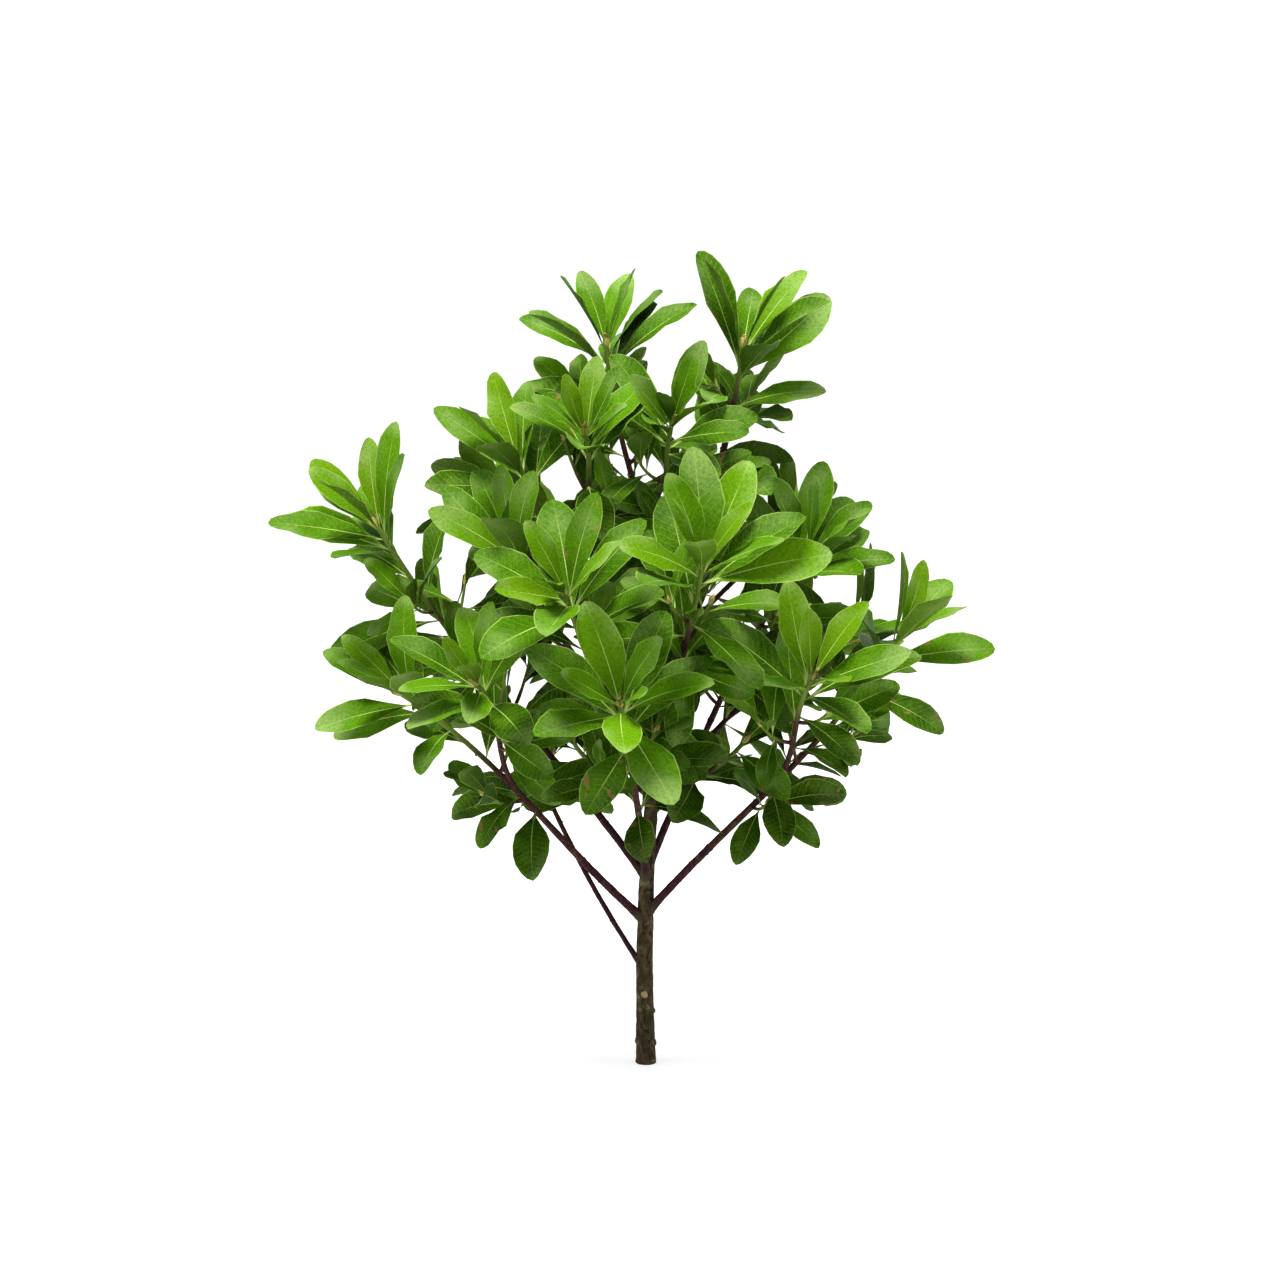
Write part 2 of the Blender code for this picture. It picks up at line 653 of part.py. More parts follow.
def main():
    for old in list(bpy.data.objects):
        bpy.data.objects.remove(old)
    bark = plain_material("bark", (0.060, 0.048, 0.030), 0.85)
    green = plain_material("leaf_green", (0.085, 0.240, 0.020), 0.45)

    curves = limb_curves()
    sides = {limb.name: side_curves(limb, curves[limb.name]) for limb in LIMBS}

    crown = Crown()
    crown.limbs.append(tree_of(trunk_mesh()))
    for limb in LIMBS:
        curve = curves[limb.name]
        if limb.bare:
            crown.limbs.append(tree_of(bough_mesh(limb, curve)))
        crown.twigs[limb.name + ":stem"] = tree_of(stem_mesh(limb, curve))
        for i, twig in enumerate(sides[limb.name]):
            crown.twigs[f"{limb.name}:{i}"] = tree_of(twig_mesh(twig))

    make_trunk(bark)
    for limb in LIMBS:
        curve = curves[limb.name]
        if limb.bare:
            make_bough(limb, curve, curves, bark)
        leaves = grown_leaves(crown, limb, curve, sides[limb.name])
        make_foliage(limb, curve, sides[limb.name], leaves, bark, green)


main()
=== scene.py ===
"""The looks of a young pittosporum shrub: barked trunk and boughs, twigs, glossy leaves and end buds, which
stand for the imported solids. Metres, +Z up, the shrub's front towards -Y."""

import json
import math
import random
from collections import namedtuple

import bpy
from mathutils import Matrix, Vector
from mathutils.bvhtree import BVHTree

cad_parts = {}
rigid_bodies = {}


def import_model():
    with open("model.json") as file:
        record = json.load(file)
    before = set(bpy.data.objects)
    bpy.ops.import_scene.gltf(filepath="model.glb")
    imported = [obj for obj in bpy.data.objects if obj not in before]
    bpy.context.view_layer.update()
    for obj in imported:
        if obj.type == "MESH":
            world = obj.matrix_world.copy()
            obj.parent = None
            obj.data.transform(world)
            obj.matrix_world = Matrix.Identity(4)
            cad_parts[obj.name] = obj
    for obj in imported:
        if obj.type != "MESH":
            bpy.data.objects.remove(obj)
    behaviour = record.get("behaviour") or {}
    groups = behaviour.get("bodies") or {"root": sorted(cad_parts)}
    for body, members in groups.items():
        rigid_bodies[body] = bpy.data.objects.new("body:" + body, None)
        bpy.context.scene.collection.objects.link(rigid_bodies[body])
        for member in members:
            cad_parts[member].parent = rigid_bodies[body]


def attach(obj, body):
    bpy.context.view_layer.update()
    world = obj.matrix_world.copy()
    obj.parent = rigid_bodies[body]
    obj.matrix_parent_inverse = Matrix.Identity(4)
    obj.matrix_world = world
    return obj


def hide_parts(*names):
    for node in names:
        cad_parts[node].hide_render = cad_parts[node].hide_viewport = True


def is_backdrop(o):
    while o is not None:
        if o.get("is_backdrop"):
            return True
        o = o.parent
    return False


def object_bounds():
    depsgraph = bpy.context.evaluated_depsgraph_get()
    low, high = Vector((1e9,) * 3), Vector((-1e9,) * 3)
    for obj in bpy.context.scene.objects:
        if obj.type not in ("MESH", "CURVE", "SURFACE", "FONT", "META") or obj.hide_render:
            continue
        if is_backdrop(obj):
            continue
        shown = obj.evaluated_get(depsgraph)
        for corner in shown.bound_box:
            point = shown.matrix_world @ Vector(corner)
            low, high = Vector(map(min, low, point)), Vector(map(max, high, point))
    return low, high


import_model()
solids_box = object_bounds()

# The set. The shrub stands on a round studio floor of white card, lit a little from below, whose rim curves
# up all round, under an even white sky. A soft lamp hangs high in front, and a weaker one on each side.

CAMERA_AIM = Vector((-0.0052, 0, 0.3806))
CAMERA_DISTANCE = 2.3
CAMERA_RISE = 10
CAMERA_LENS = 74.87
SENSOR_WIDTH = 36
FLOOR_RADIUS = 5.0
FLOOR_RIM = 2.6
FLOOR_SIDES = 96
RIM_STEPS = 16
CARD_WHITE = 0.56
CARD_GLOW = 0.60
SKY_LIGHT = 0.75


def heading_to(turn, rise):
    """The direction at this turn in plan from +X and this rise above level, in degrees."""
    turn, rise = math.radians(turn), math.radians(rise)
    return Vector((math.cos(turn) * math.cos(rise), math.sin(turn) * math.cos(rise), math.sin(rise)))


def linked(name, data):
    made = bpy.data.objects.new(name, data)
    bpy.context.scene.collection.objects.link(made)
    return made


def aimed_at(made, place, target):
    """Moves a camera or lamp to a place and points it at the target."""
    made.location = place
    made.rotation_euler = (target - place).to_track_quat("-Z", "Y").to_euler()
    return made


def walls(rings, sides):
    """The faces between rings of vertices that follow one another in a list."""
    lows = range(0, (rings - 1) * sides, sides)
    pairs = [(i, (i + 1) % sides) for i in range(sides)]
    return [(low + i, low + j, low + sides + j, low + sides + i) for low in lows for i, j in pairs]


def studio_floor():
    """A flat disc with a quarter-round rim."""
    steps = [math.pi / 2 * i / RIM_STEPS for i in range(RIM_STEPS + 1)]
    rings = [(FLOOR_RADIUS + FLOOR_RIM * math.sin(a), FLOOR_RIM * (1 - math.cos(a))) for a in steps]
    turns = [2 * math.pi * i / FLOOR_SIDES for i in range(FLOOR_SIDES)]
    verts = [(r * math.cos(t), r * math.sin(t), z) for r, z in rings for t in turns]
    faces = [tuple(range(FLOOR_SIDES))] + [face[::-1] for face in walls(len(rings), FLOOR_SIDES)]
    mesh = bpy.data.meshes.new("studio floor")
    mesh.from_pydata(verts, [], faces)
    mesh.polygons.foreach_set("use_smooth", [True] * len(faces))
    return mesh


def soft_lamp(name, turn, rise, distance, size, power, colour):
    lamp = bpy.data.lights.new(name, "AREA")
    lamp.shape = "DISK"
    lamp.size = size
    lamp.energy = power
    lamp.color = colour
    place = CAMERA_AIM + heading_to(turn, rise) * distance
    return aimed_at(linked(name, lamp), place, CAMERA_AIM)


camera = linked("camera", bpy.data.cameras.new("camera"))
camera.data.lens = CAMERA_LENS
camera.data.sensor_width = SENSOR_WIDTH
aimed_at(camera, CAMERA_AIM + heading_to(-90, CAMERA_RISE) * CAMERA_DISTANCE, CAMERA_AIM)
bpy.context.scene.camera = camera
bpy.context.scene.view_settings.view_transform = "Standard"

card = bpy.data.materials.new("white card")
card.use_nodes = True
card_shader = card.node_tree.nodes["Principled BSDF"]
card_shader.inputs["Base Color"].default_value = (CARD_WHITE, CARD_WHITE, CARD_WHITE, 1)
card_shader.inputs["Roughness"].default_value = 0.9
card_shader.inputs["Emission Color"].default_value = (1, 1, 1, 1)
card_shader.inputs["Emission Strength"].default_value = CARD_GLOW
floor = linked("studio_floor", studio_floor())
floor.data.materials.append(card)
floor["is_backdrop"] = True

sky = bpy.data.worlds.new("white sky")
sky.use_nodes = True
sky.node_tree.nodes["Background"].inputs["Color"].default_value = (0.96, 0.98, 1.0, 1)
sky.node_tree.nodes["Background"].inputs["Strength"].default_value = SKY_LIGHT
bpy.context.scene.world = sky
soft_lamp("key lamp", -120, 74, 2.6, 0.9, 138, (1.0, 0.985, 0.95))
soft_lamp("left lamp", -172, 30, 3.0, 1.6, 18, (0.97, 0.99, 1.0))
soft_lamp("right lamp", -8, 30, 3.0, 1.6, 16, (0.97, 0.99, 1.0))


# The trunk: one slim stem in dark olive bark, mottled by grey-green lichen, with a slight root flare over its
# flat cut, a few burrs, and the pale end of a pruned shoot in front. Its ridges rise from a round core.

TRUNK_HEIGHT = 0.500
TRUNK_RADIUS = 0.0081
TRUNK_TIP_RADIUS = 0.0034
TRUNK_TAPER_POWER = 1.15
TRUNK_STATIONS = 120
TRUNK_SIDES = 32
TRUNK_STEP = 0.0018
TRUNK_LEAN = 0.052
TRUNK_LEAN_POWER = 2.8
TRUNK_SWAY = 0.0018
TRUNK_SWAY_BENDS = 5
FLARE_WIDTH = 0.0012
FLARE_HEIGHT = 0.020
TRUNK_RELIEF = 0.0011
TRUNK_GRAIN = Vector((260, 260, 110))
LUMP_SCALE = 70
LUMP_SHARE = 1.8
SHARPEST_RIDGE = math.radians(55)
# Each burr is its height, its turn in degrees, its radius, how far it stands proud and how bare its end is
BURRS = (
    (0.064, -92, 0.0036, 0.0024, 1.0),
    (0.047, -12, 0.0022, 0.0012, 0.8),
    (0.019, 178, 0.0026, 0.0009, 0.0),
    (0.017, 8, 0.0030, 0.0010, 0.0),
    (0.100, -60, 0.0024, 0.0006, 0.0),
    (0.205, 60, 0.0020, 0.0012, 0.0),
)
BURR_RISE = math.degrees(0.1)
# A burr swells out of the trunk by these shares of the radius of its end
BURR_WIDTHS = (1.5, 1.35, 1.1, 0.7)


def is_vector(value):
    return value.socket.type == "VECTOR" if isinstance(value, Wire) else isinstance(value, Vector)


def operator(operation, reflected=False):
    """A method that adds this operation's node, fed by its own wire first or, when reflected, second."""
    if reflected:
        return lambda self, other: self.tree.calculate(operation, other, self)
    return lambda self, other: self.tree.calculate(operation, self, other)


class Wire:
    """A node's output, ready for sums: each operator adds a Math node, or a Vector Math one for vectors."""

    __add__, __radd__ = operator("ADD"), operator("ADD", True)
    __sub__, __rsub__ = operator("SUBTRACT"), operator("SUBTRACT", True)
    __mul__, __rmul__ = operator("MULTIPLY"), operator("MULTIPLY", True)
    __truediv__, __rtruediv__ = operator("DIVIDE"), operator("DIVIDE", True)
    __pow__ = operator("POWER")

    def __init__(self, tree, node, socket):
        self.tree = tree
        self.node = node
        self.socket = socket

    def __getitem__(self, name):
        found = next(s for s in self.node.outputs if s.enabled and s.name == name)
        return Wire(self.tree, self.node, found)

    def __abs__(self):
        return self.tree.calculate("ABSOLUTE", self)


class Tree:
    """A node tree of a material or of geometry, built up node by node."""

    def __init__(self, data):
        self.data = data

    def feed(self, node, feeds):
        """Gives a node's inputs, by name or number, their values or the wires that lead to them."""
        for key, value in feeds.items():
            socket = node.inputs[key] if isinstance(key, int) else None
            socket = socket or next(s for s in node.inputs if s.enabled and s.name == key)
            if isinstance(value, Wire):
                self.data.links.new(value.socket, socket)
            elif socket.type == "RGBA":
                socket.default_value = (*value[:3], 1)
            else:
                socket.default_value = value

    def add(self, kind, settings=None, feeds=None):
        """A node of this kind, set up and fed, as the wire of its first output."""
        node = self.data.nodes.new(kind)
        for name, value in (settings or {}).items():
            if name == "stops":
                self.set_stops(node.color_ramp.elements, value)
            elif name == "points":
                self.set_points(node.mapping, value)
            else:
                setattr(node, name, value)
        self.feed(node, feeds or {})
        return Wire(self, node, next(s for s in node.outputs if s.enabled))

    def set_stops(self, stops, wanted):
        while len(stops) < len(wanted):
            stops.new(1)
        for stop, (place, colour) in zip(stops, wanted):
            stop.position = place
            stop.color = (*colour, 1)

    def set_points(self, mapping, wanted):
        points = mapping.curves[0].points
        while len(points) < len(wanted):
            points.new(1, 1)
        for point, place in zip(points, wanted):
            point.location = place
        mapping.update()

    def calculate(self, operation, *values):
        if any(is_vector(v) for v in values):
            if operation == "MULTIPLY" and not all(is_vector(v) for v in values):
                vector, number = sorted(values, key=is_vector, reverse=True)
                settings = {"operation": "SCALE"}
                return self.add("ShaderNodeVectorMath", settings, {0: vector, "Scale": number})
            return self.add("ShaderNodeVectorMath", {"operation": operation}, dict(enumerate(values)))
        return self.add("ShaderNodeMath", {"operation": operation}, dict(enumerate(values)))

    def band(self, value, low, high, start=0.0, end=1.0):
        """The value's smooth step from start at low to end at high."""
        feeds = {"Value": value, "From Min": low, "From Max": high, "To Min": start, "To Max": end}
        return self.add("ShaderNodeMapRange", {"interpolation_type": "SMOOTHSTEP"}, feeds)

    def mix(self, share, first, second):
        """One colour turned into another."""
        return self.add("ShaderNodeMix", {"data_type": "RGBA"}, {"Factor": share, "A": first, "B": second})

    def noise(self, vector, scale, detail=3.0, roughness=0.55):
        feeds = {"Vector": vector, "Scale": scale, "Detail": detail, "Roughness": roughness}
        return self.add("ShaderNodeTexNoise", {}, feeds)

    def carried(self, name):
        """A named value that a material reads from the mesh."""
        return self.add("ShaderNodeAttribute", {"attribute_name": name})["Fac"]


class Growth(Tree):
    """A geometry tree with named inputs."""

    def __init__(self, name, inputs):
        super().__init__(bpy.data.node_groups.new(name, "GeometryNodeTree"))
        for key, kind in inputs.items():
            self.data.interface.new_socket(key, in_out="INPUT", socket_type="NodeSocket" + kind)
        self.data.interface.new_socket("Mesh", in_out="OUTPUT", socket_type="NodeSocketGeometry")
        self.inputs = self.add("NodeGroupInput")

    def value(self, name, kind="FLOAT"):
        """A named value that the geometry carries."""
        return self.add("GeometryNodeInputNamedAttribute", {"data_type": kind}, {"Name": name})

    def keep(self, mesh, name, value, kind="FLOAT", domain="POINT"):
        """The mesh with one more named value."""
        settings = {"data_type": kind, "domain": domain}
        feeds = {"Geometry": mesh, "Name": name, "Value": value}
        return self.add("GeometryNodeStoreNamedAttribute", settings, feeds)

    def moved(self, mesh, place):
        return self.add("GeometryNodeSetPosition", {}, {"Geometry": mesh, "Position": place})

    def smooth(self, mesh, sharpest):
        """Smooth shading, but for edges that turn more than this angle."""
        mesh = self.add("GeometryNodeSetShadeSmooth", {"domain": "FACE"}, {"Geometry": mesh})
        bend = self.add("GeometryNodeInputMeshEdgeAngle")
        sharp = self.add("FunctionNodeCompare", {"operation": "GREATER_THAN"}, {"A": bend, "B": sharpest})
        feeds = {"Geometry": mesh, "Selection": sharp, "Shade Smooth": False}
        return self.add("GeometryNodeSetShadeSmooth", {"domain": "EDGE"}, feeds)

    def finish(self, mesh):
        self.feed(self.data.nodes.new("NodeGroupOutput"), {"Mesh": mesh})


def grown(name, tree, points, edges, carried, inputs):
    """The plain mesh object that a geometry tree makes from points and edges that carry named values."""
    mesh = bpy.data.meshes.new(name)
    mesh.from_pydata(points, edges, [])
    for key, values in carried.items():
        if isinstance(values[0], Vector):
            layer = mesh.attributes.new(key, "FLOAT_VECTOR", "POINT")
            layer.data.foreach_set("vector", [c for v in values for c in v])
        else:
            mesh.attributes.new(key, "FLOAT", "POINT").data.foreach_set("value", values)
    made = linked(name, mesh)
    modifier = made.modifiers.new("growth", "NODES")
    modifier.node_group = tree.data
    for item in tree.data.interface.items_tree:
        if item.in_out == "INPUT" and item.name in inputs:
            modifier[item.identifier] = inputs[item.name]
    made.update_tag()
    result = bpy.data.meshes.new_from_object(made.evaluated_get(bpy.context.evaluated_depsgraph_get()))
    made.modifiers.clear()
    made.data = result
    result.name = name
    return made


def wood_tree():
    """The tree that turns lines into limbs: round tubes of the lines' own radius, with the relief of bark."""
    tree = Growth("wood", {
        "Lines": "Geometry", "Sides": "Int", "Step": "Float", "Relief": "Float", "Grain": "Vector",
        "Bark": "Material",
    })
    given = tree.inputs
    lines = tree.add("GeometryNodeMeshToCurve", {}, {"Mesh": given["Lines"]})
    evenly = {"Curve": lines, "Length": given["Step"]}
    lines = tree.add("GeometryNodeResampleCurve", {"mode": "LENGTH"}, evenly)
    place = tree.add("GeometryNodeInputPosition")
    lines = tree.keep(lines, "core", place, "FLOAT_VECTOR")
    circle = {"Resolution": given["Sides"], "Radius": 1.0}
    profile = tree.add("GeometryNodeCurvePrimitiveCircle", {}, circle)
    mesh = tree.add("GeometryNodeCurveToMesh", {}, {
        "Curve": lines, "Profile Curve": profile, "Scale": tree.value("girth"), "Fill Caps": True,
    })
    core = tree.value("core", "FLOAT_VECTOR")
    outward = place - core
    ridges = tree.noise(place * given["Grain"], 1.0, 4.0, 0.6) - 0.5
    lumps = tree.noise(place, LUMP_SCALE, 2.0) - 0.5
    reach = tree.calculate("LENGTH", outward)
    growth = given["Relief"] * (ridges + lumps * LUMP_SHARE) / reach
    mesh = tree.moved(mesh, core + outward * (growth + 1.0))
    mesh = tree.smooth(mesh, SHARPEST_RIDGE)
    mesh = tree.add("GeometryNodeSetMaterial", {}, {"Geometry": mesh, "Material": given["Bark"]})
    tree.finish(mesh)
    return tree


def trunk_centre(height):
    """The trunk's centre line: a slow lean to the right that starts above the lowest boughs."""
    share = height / TRUNK_HEIGHT
    sway = TRUNK_SWAY * math.sin(TRUNK_SWAY_BENDS * share)
    return Vector((TRUNK_LEAN * share**TRUNK_LEAN_POWER - sway, sway * share, height))


def mixed(a, b, share):
    return a + (b - a) * share


def trunk_radius(height):
    """The trunk's taper, with the root flare at the ground."""
    flare = FLARE_WIDTH * math.exp(-height / FLARE_HEIGHT)
    return mixed(TRUNK_RADIUS, TRUNK_TIP_RADIUS, (height / TRUNK_HEIGHT) ** TRUNK_TAPER_POWER) + flare


class Lines:
    """Lines for the wood tree. Their points carry a girth, the share of a second colour and bareness."""

    def __init__(self):
        self.points = []
        self.edges = []
        self.carried = {"girth": [], "second": [], "bare": []}

    def add(self, points, radii, second=None, bare=None):
        first = len(self.points)
        self.points += points
        self.edges += [(first + i, first + i + 1) for i in range(len(points) - 1)]
        self.carried["girth"] += radii
        self.carried["second"] += second or [0.0] * len(points)
        self.carried["bare"] += bare or [0.0] * len(points)


def srgb(red, green, blue):
    """A colour of the screen, 0 to 255, as the shader's linear one."""
    parts = (red / 255, green / 255, blue / 255)
    return tuple(((c + 0.055) / 1.055) ** 2.4 if c > 0.04 else c / 12.92 for c in parts)


def new_material(name, roughness, gloss):
    """A material, the tree of its nodes and its shader."""
    material = bpy.data.materials.new(name)
    material.use_nodes = True
    shader = material.node_tree.nodes["Principled BSDF"]
    shader.inputs["Roughness"].default_value = roughness
    shader.inputs["Specular IOR Level"].default_value = gloss
    return material, Tree(material.node_tree), shader


def bark_material(name, dark, light, lichen, cover, second=None):
    """Bark with dark furrows, pale corky ridges and patches of lichen, turning to a second colour."""
    material, tree, shader = new_material(name, 0.85, 0.12)
    place = tree.add("ShaderNodeTexCoord")["Object"]
    long_grain = tree.add("ShaderNodeMapping", {}, {"Vector": place, "Scale": (1, 1, 0.55)})
    ridges = tree.noise(long_grain, 300.0, 6.0, 0.72)
    specks = tree.noise(place, 1500.0, 2.0)
    patches = tree.noise(place, 95.0, 4.0, 0.62)
    blotches = tree.noise(long_grain, 150.0, 3.0, 0.6)
    colour = tree.mix(tree.band(ridges, 0.36, 0.68), dark, light)
    colour = tree.mix(tree.band(blotches, 0.44, 0.62, 0.0, 0.75), colour, dark)
    colour = tree.mix(tree.band(patches, 0.60 - cover, 0.72 - cover), colour, lichen)
    colour = tree.mix(tree.band(specks, 0.60, 0.74, 0.0, 0.45), colour, light)
    if second:
        turning = tree.band(tree.carried("second") + (patches - 0.5) * 0.5, 0.15, 0.75)
        colour = tree.mix(turning, colour, second)
    bare = tree.band(tree.carried("bare") + (ridges - 0.5) * 0.6, 0.80, 0.97)
    colour = tree.mix(bare, colour, srgb(136, 120, 90))
    height = ridges * 0.7 + specks * 0.2 + patches * 0.4
    bump = tree.add("ShaderNodeBump", {}, {"Height": height, "Strength": 0.7, "Distance": 0.0009})
    worn = tree.band(ridges, 0.3, 0.7, 0.92, 0.7)
    tree.feed(shader, {"Base Color": colour, "Normal": bump, "Roughness": worn})
    return material


def wood_piece(name, lines, bark, sides, step, relief, grain):
    """A piece of wood: its lines as limbs with this bark, and this relief and grain on them."""
    piece = grown(name, wood, lines.points, lines.edges, lines.carried, {
        "Sides": sides, "Step": step, "Relief": relief, "Grain": grain, "Bark": bark,
    })
    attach(piece, "root")
    return piece


wood = wood_tree()
trunk_bark = bark_material("trunk bark", srgb(22, 15, 5), srgb(88, 74, 48), srgb(88, 90, 62), 0.03)
trunk_lines = Lines()
heights = [TRUNK_HEIGHT * i / TRUNK_STATIONS for i in range(TRUNK_STATIONS + 1)]
centres = [trunk_centre(h) for h in heights]
centres[1].xy = centres[0].xy
trunk_lines.add(centres, [trunk_radius(h) for h in heights])
for burr_height, burr_turn, burr_radius, burr_proud, burr_bare in BURRS:
    core, outward = trunk_centre(burr_height), heading_to(burr_turn, BURR_RISE)
    proud = trunk_radius(burr_height) + burr_proud
    ends = (0.2 * TRUNK_RADIUS, 0.9 * TRUNK_RADIUS, proud - 0.4 * burr_radius, proud)
    widths = [burr_radius * share for share in BURR_WIDTHS]
    trunk_lines.add([core + outward * e for e in ends], widths, None, [0.0, 0.0, burr_bare * 0.9, burr_bare])
trunk = wood_piece("trunk_bark", trunk_lines, trunk_bark, TRUNK_SIDES, TRUNK_STEP, TRUNK_RELIEF, TRUNK_GRAIN)
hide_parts("trunk")


# The boughs: slim purplish-brown limbs, smoother than the trunk, each swelling into a collar where it leaves
# the wood that carries it, with the scars of shed leaves and broken spurs along it.

SHRUB_HEIGHT = 0.712
CROWN_REACH = 0.310
TWIG_TIP_RADIUS = 0.0021
BOUGH_SIDES = 18
BOUGH_STEP = 0.0016
BOUGH_RELIEF = 0.0006
BOUGH_GRAIN = Vector((300, 300, 300))
BOUGH_PULL = 0.36
TAPER_RATE = 1.15
TAPER_POWER = 0.8
CARRIER_RADIUS = 0.0034
COLLAR = 0.30
COLLAR_LENGTH = 0.007
KNUCKLE = 0.14
KNUCKLE_LENGTH = 0.0022
SCAR_STEP = 0.017
SCAR_TURN = 2.4
SCAR_RADIUS = 0.0012
SCAR_PROUD = 0.0011
# How deep a bough sits in its carrier and where its scars begin, in radii of the carrier
BOUGH_GRIP = 0.5
SCARS_FROM = 2.4

# Turn is the angle in plan from +X, in degrees. Reach and height are shares of the crown's and the shrub's.
# Lean is how far the shoot's tip leans outward from upright, in degrees.
# First is the turn of a shoot's lowest leaf round the shoot, and stem_leaves are those below its rosette.
Shoot = namedtuple("Shoot", "turn reach height lean leaves stem_leaves first seed size")

# The older leaves that stand round a limb just below its fork, the last of them a way down the limb
Whorl = namedtuple("Whorl", "leaves first seed")

# A limb grows from its parent's side. Foot is a height on the trunk or a share of the parent bough.
# Heading and rise give its first direction, in degrees, and bare is the share of it that is a bough.
Limb = namedtuple("Limb", "name parent foot heading rise bare radius fork whorl shoots")

LIMBS = (
    Limb("left_low", "trunk", 0.130, 206, 42, 0.27, 0.0039, 0.56, Whorl(5, 350, 131), (
        Shoot(-158, 0.71, 0.49, 55, 10, 3, 240, 383, 1.00),
        Shoot(-126, 0.74, 0.53, 48, 10, 3, 95, 352, 0.90),
    )),
    Limb("right_low", "trunk", 0.135, -27, 50, 0.26, 0.0039, 0.51, Whorl(5, 240, 14), (
        Shoot(-17, 0.71, 0.55, 32, 9, 3, 145, 383, 1.07),
        Shoot(-51, 0.68, 0.53, 34, 10, 2, 265, 378, 1.04),
    )),
    Limb("front_low", "trunk", 0.168, -95, 48, 0.16, 0.0038, 0.42, Whorl(5, 40, 156), (
        Shoot(-95, 0.76, 0.52, 52, 10, 5, 20, 262, 1.09),
    )),
    Limb("left_middle", "trunk", 0.168, 150, 48, 0.46, 0.0036, 0.62, Whorl(3, 350, 201), (
        Shoot(-170, 0.74, 0.68, 30, 11, 3, 90, 151, 1.14),
    )),
    Limb("right_middle", "trunk", 0.176, 42, 58, 0.46, 0.0036, 0.62, Whorl(3, 140, 214), (
        Shoot(-23, 0.48, 0.65, 38, 11, 3, 95, 175, 1.03),
    )),
    Limb("front_left", "trunk", 0.250, -112, 40, 0.30, 0.0034, 0.45, Whorl(3, 60, 22), (
        Shoot(-106, 0.74, 0.64, 42, 10, 3, 245, 98, 1.04),
        Shoot(-130, 0.55, 0.67, 28, 9, 2, 350, 72, 1.03),
    )),
    Limb("front_right", "trunk", 0.300, -78, 42, 0.30, 0.0034, 0.50, Whorl(3, 100, 159), (
        Shoot(-79, 0.73, 0.67, 38, 11, 4, 220, 21, 1.12),
    )),
    Limb("upper_left", "trunk", 0.345, -168, 50, 0.30, 0.0032, 0.45, Whorl(2, 90, 87), (
        Shoot(-149, 0.40, 0.76, 24, 10, 3, 260, 39, 1.10),
        Shoot(-112, 0.42, 0.80, 26, 10, 3, 120, 364, 0.93),
    )),
    Limb("upper_middle", "trunk", 0.385, -95, 56, 0.30, 0.0028, 0.50, Whorl(1, 230, 389), (
        Shoot(-78, 0.32, 0.81, 42, 11, 3, 55, 314, 0.94),
    )),
    Limb("top_left", "trunk", 0.410, -170, 66, 0.36, 0.0032, 0.50, Whorl(2, 100, 308), (
        Shoot(-154, 0.12, 0.89, 6, 10, 5, 240, 358, 1.06),
    )),
    Limb("top_right", "trunk", TRUNK_HEIGHT, 0, 74, 0.0, TRUNK_TIP_RADIUS, 0.50, Whorl(0, 0, 1), (
        Shoot(-21, 0.28, 0.89, 8, 10, 5, 290, 64, 1.09),
    )),
    Limb("inner_right", "trunk", 0.225, -25, 52, 0.30, 0.0028, 0.50, Whorl(2, 70, 89), (
        Shoot(-27, 0.30, 0.42, 38, 6, 1, 225, 344, 1.14),
    )),
    Limb("inner_left", "trunk", 0.238, 205, 52, 0.30, 0.0028, 0.50, Whorl(2, 280, 55), (
        Shoot(-146, 0.24, 0.42, 30, 6, 1, 210, 205, 0.84),
    )),
    Limb("back_left_low", "trunk", 0.084, 150, 50, 0.40, 0.0024, 0.62, Whorl(3, 270, 265), (
        Shoot(133, 0.69, 0.48, 33, 10, 3, 155, 95, 0.98),
        Shoot(156, 0.64, 0.54, 26, 9, 1, 350, 298, 1.00),
    )),
    Limb("back_right_low", "right_middle", 0.26, 66, 40, 0.30, 0.0028, 0.45, Whorl(3, 160, 192), (
        Shoot(51, 0.67, 0.49, 42, 10, 3, 270, 158, 1.06),
        Shoot(14, 0.63, 0.55, 23, 10, 2, 90, 58, 0.94),
    )),
    Limb("back_low", "trunk", 0.200, 92, 52, 0.30, 0.0034, 0.50, Whorl(4, 280, 35), (
        Shoot(83, 0.72, 0.50, 34, 11, 3, 270, 369, 1.00),
    )),
    Limb("back_left", "trunk", 0.275, 118, 48, 0.30, 0.0032, 0.45, Whorl(2, 160, 363), (
        Shoot(112, 0.66, 0.62, 27, 10, 3, 290, 70, 1.04),
        Shoot(144, 0.50, 0.69, 26, 10, 2, 40, 25, 1.02),
    )),
    Limb("back_right", "trunk", 0.325, 64, 48, 0.30, 0.0032, 0.45, Whorl(2, 110, 194), (
        Shoot(72, 0.64, 0.63, 24, 10, 3, 280, 228, 1.00),
        Shoot(40, 0.53, 0.67, 25, 10, 1, 280, 185, 0.84),
    )),
    Limb("back_upper", "trunk", 0.405, 100, 58, 0.30, 0.0030, 0.40, Whorl(1, 50, 36), (
        Shoot(109, 0.39, 0.78, 7, 10, 3, 195, 251, 0.98),
        Shoot(61, 0.36, 0.77, 4, 9, 1, 135, 187, 0.98),
    )),
)

UP = Vector((0, 0, 1))
Curve = namedtuple("Curve", "start leaving arriving end")


def point_on(curve, share):
    """A point of the cubic curve through its two ends and two handles."""
    rest = 1 - share
    return (
        curve.start * rest**3
        + curve.leaving * (3 * rest**2 * share)
        + curve.arriving * (3 * rest * share**2)
        + curve.end * share**3
    )


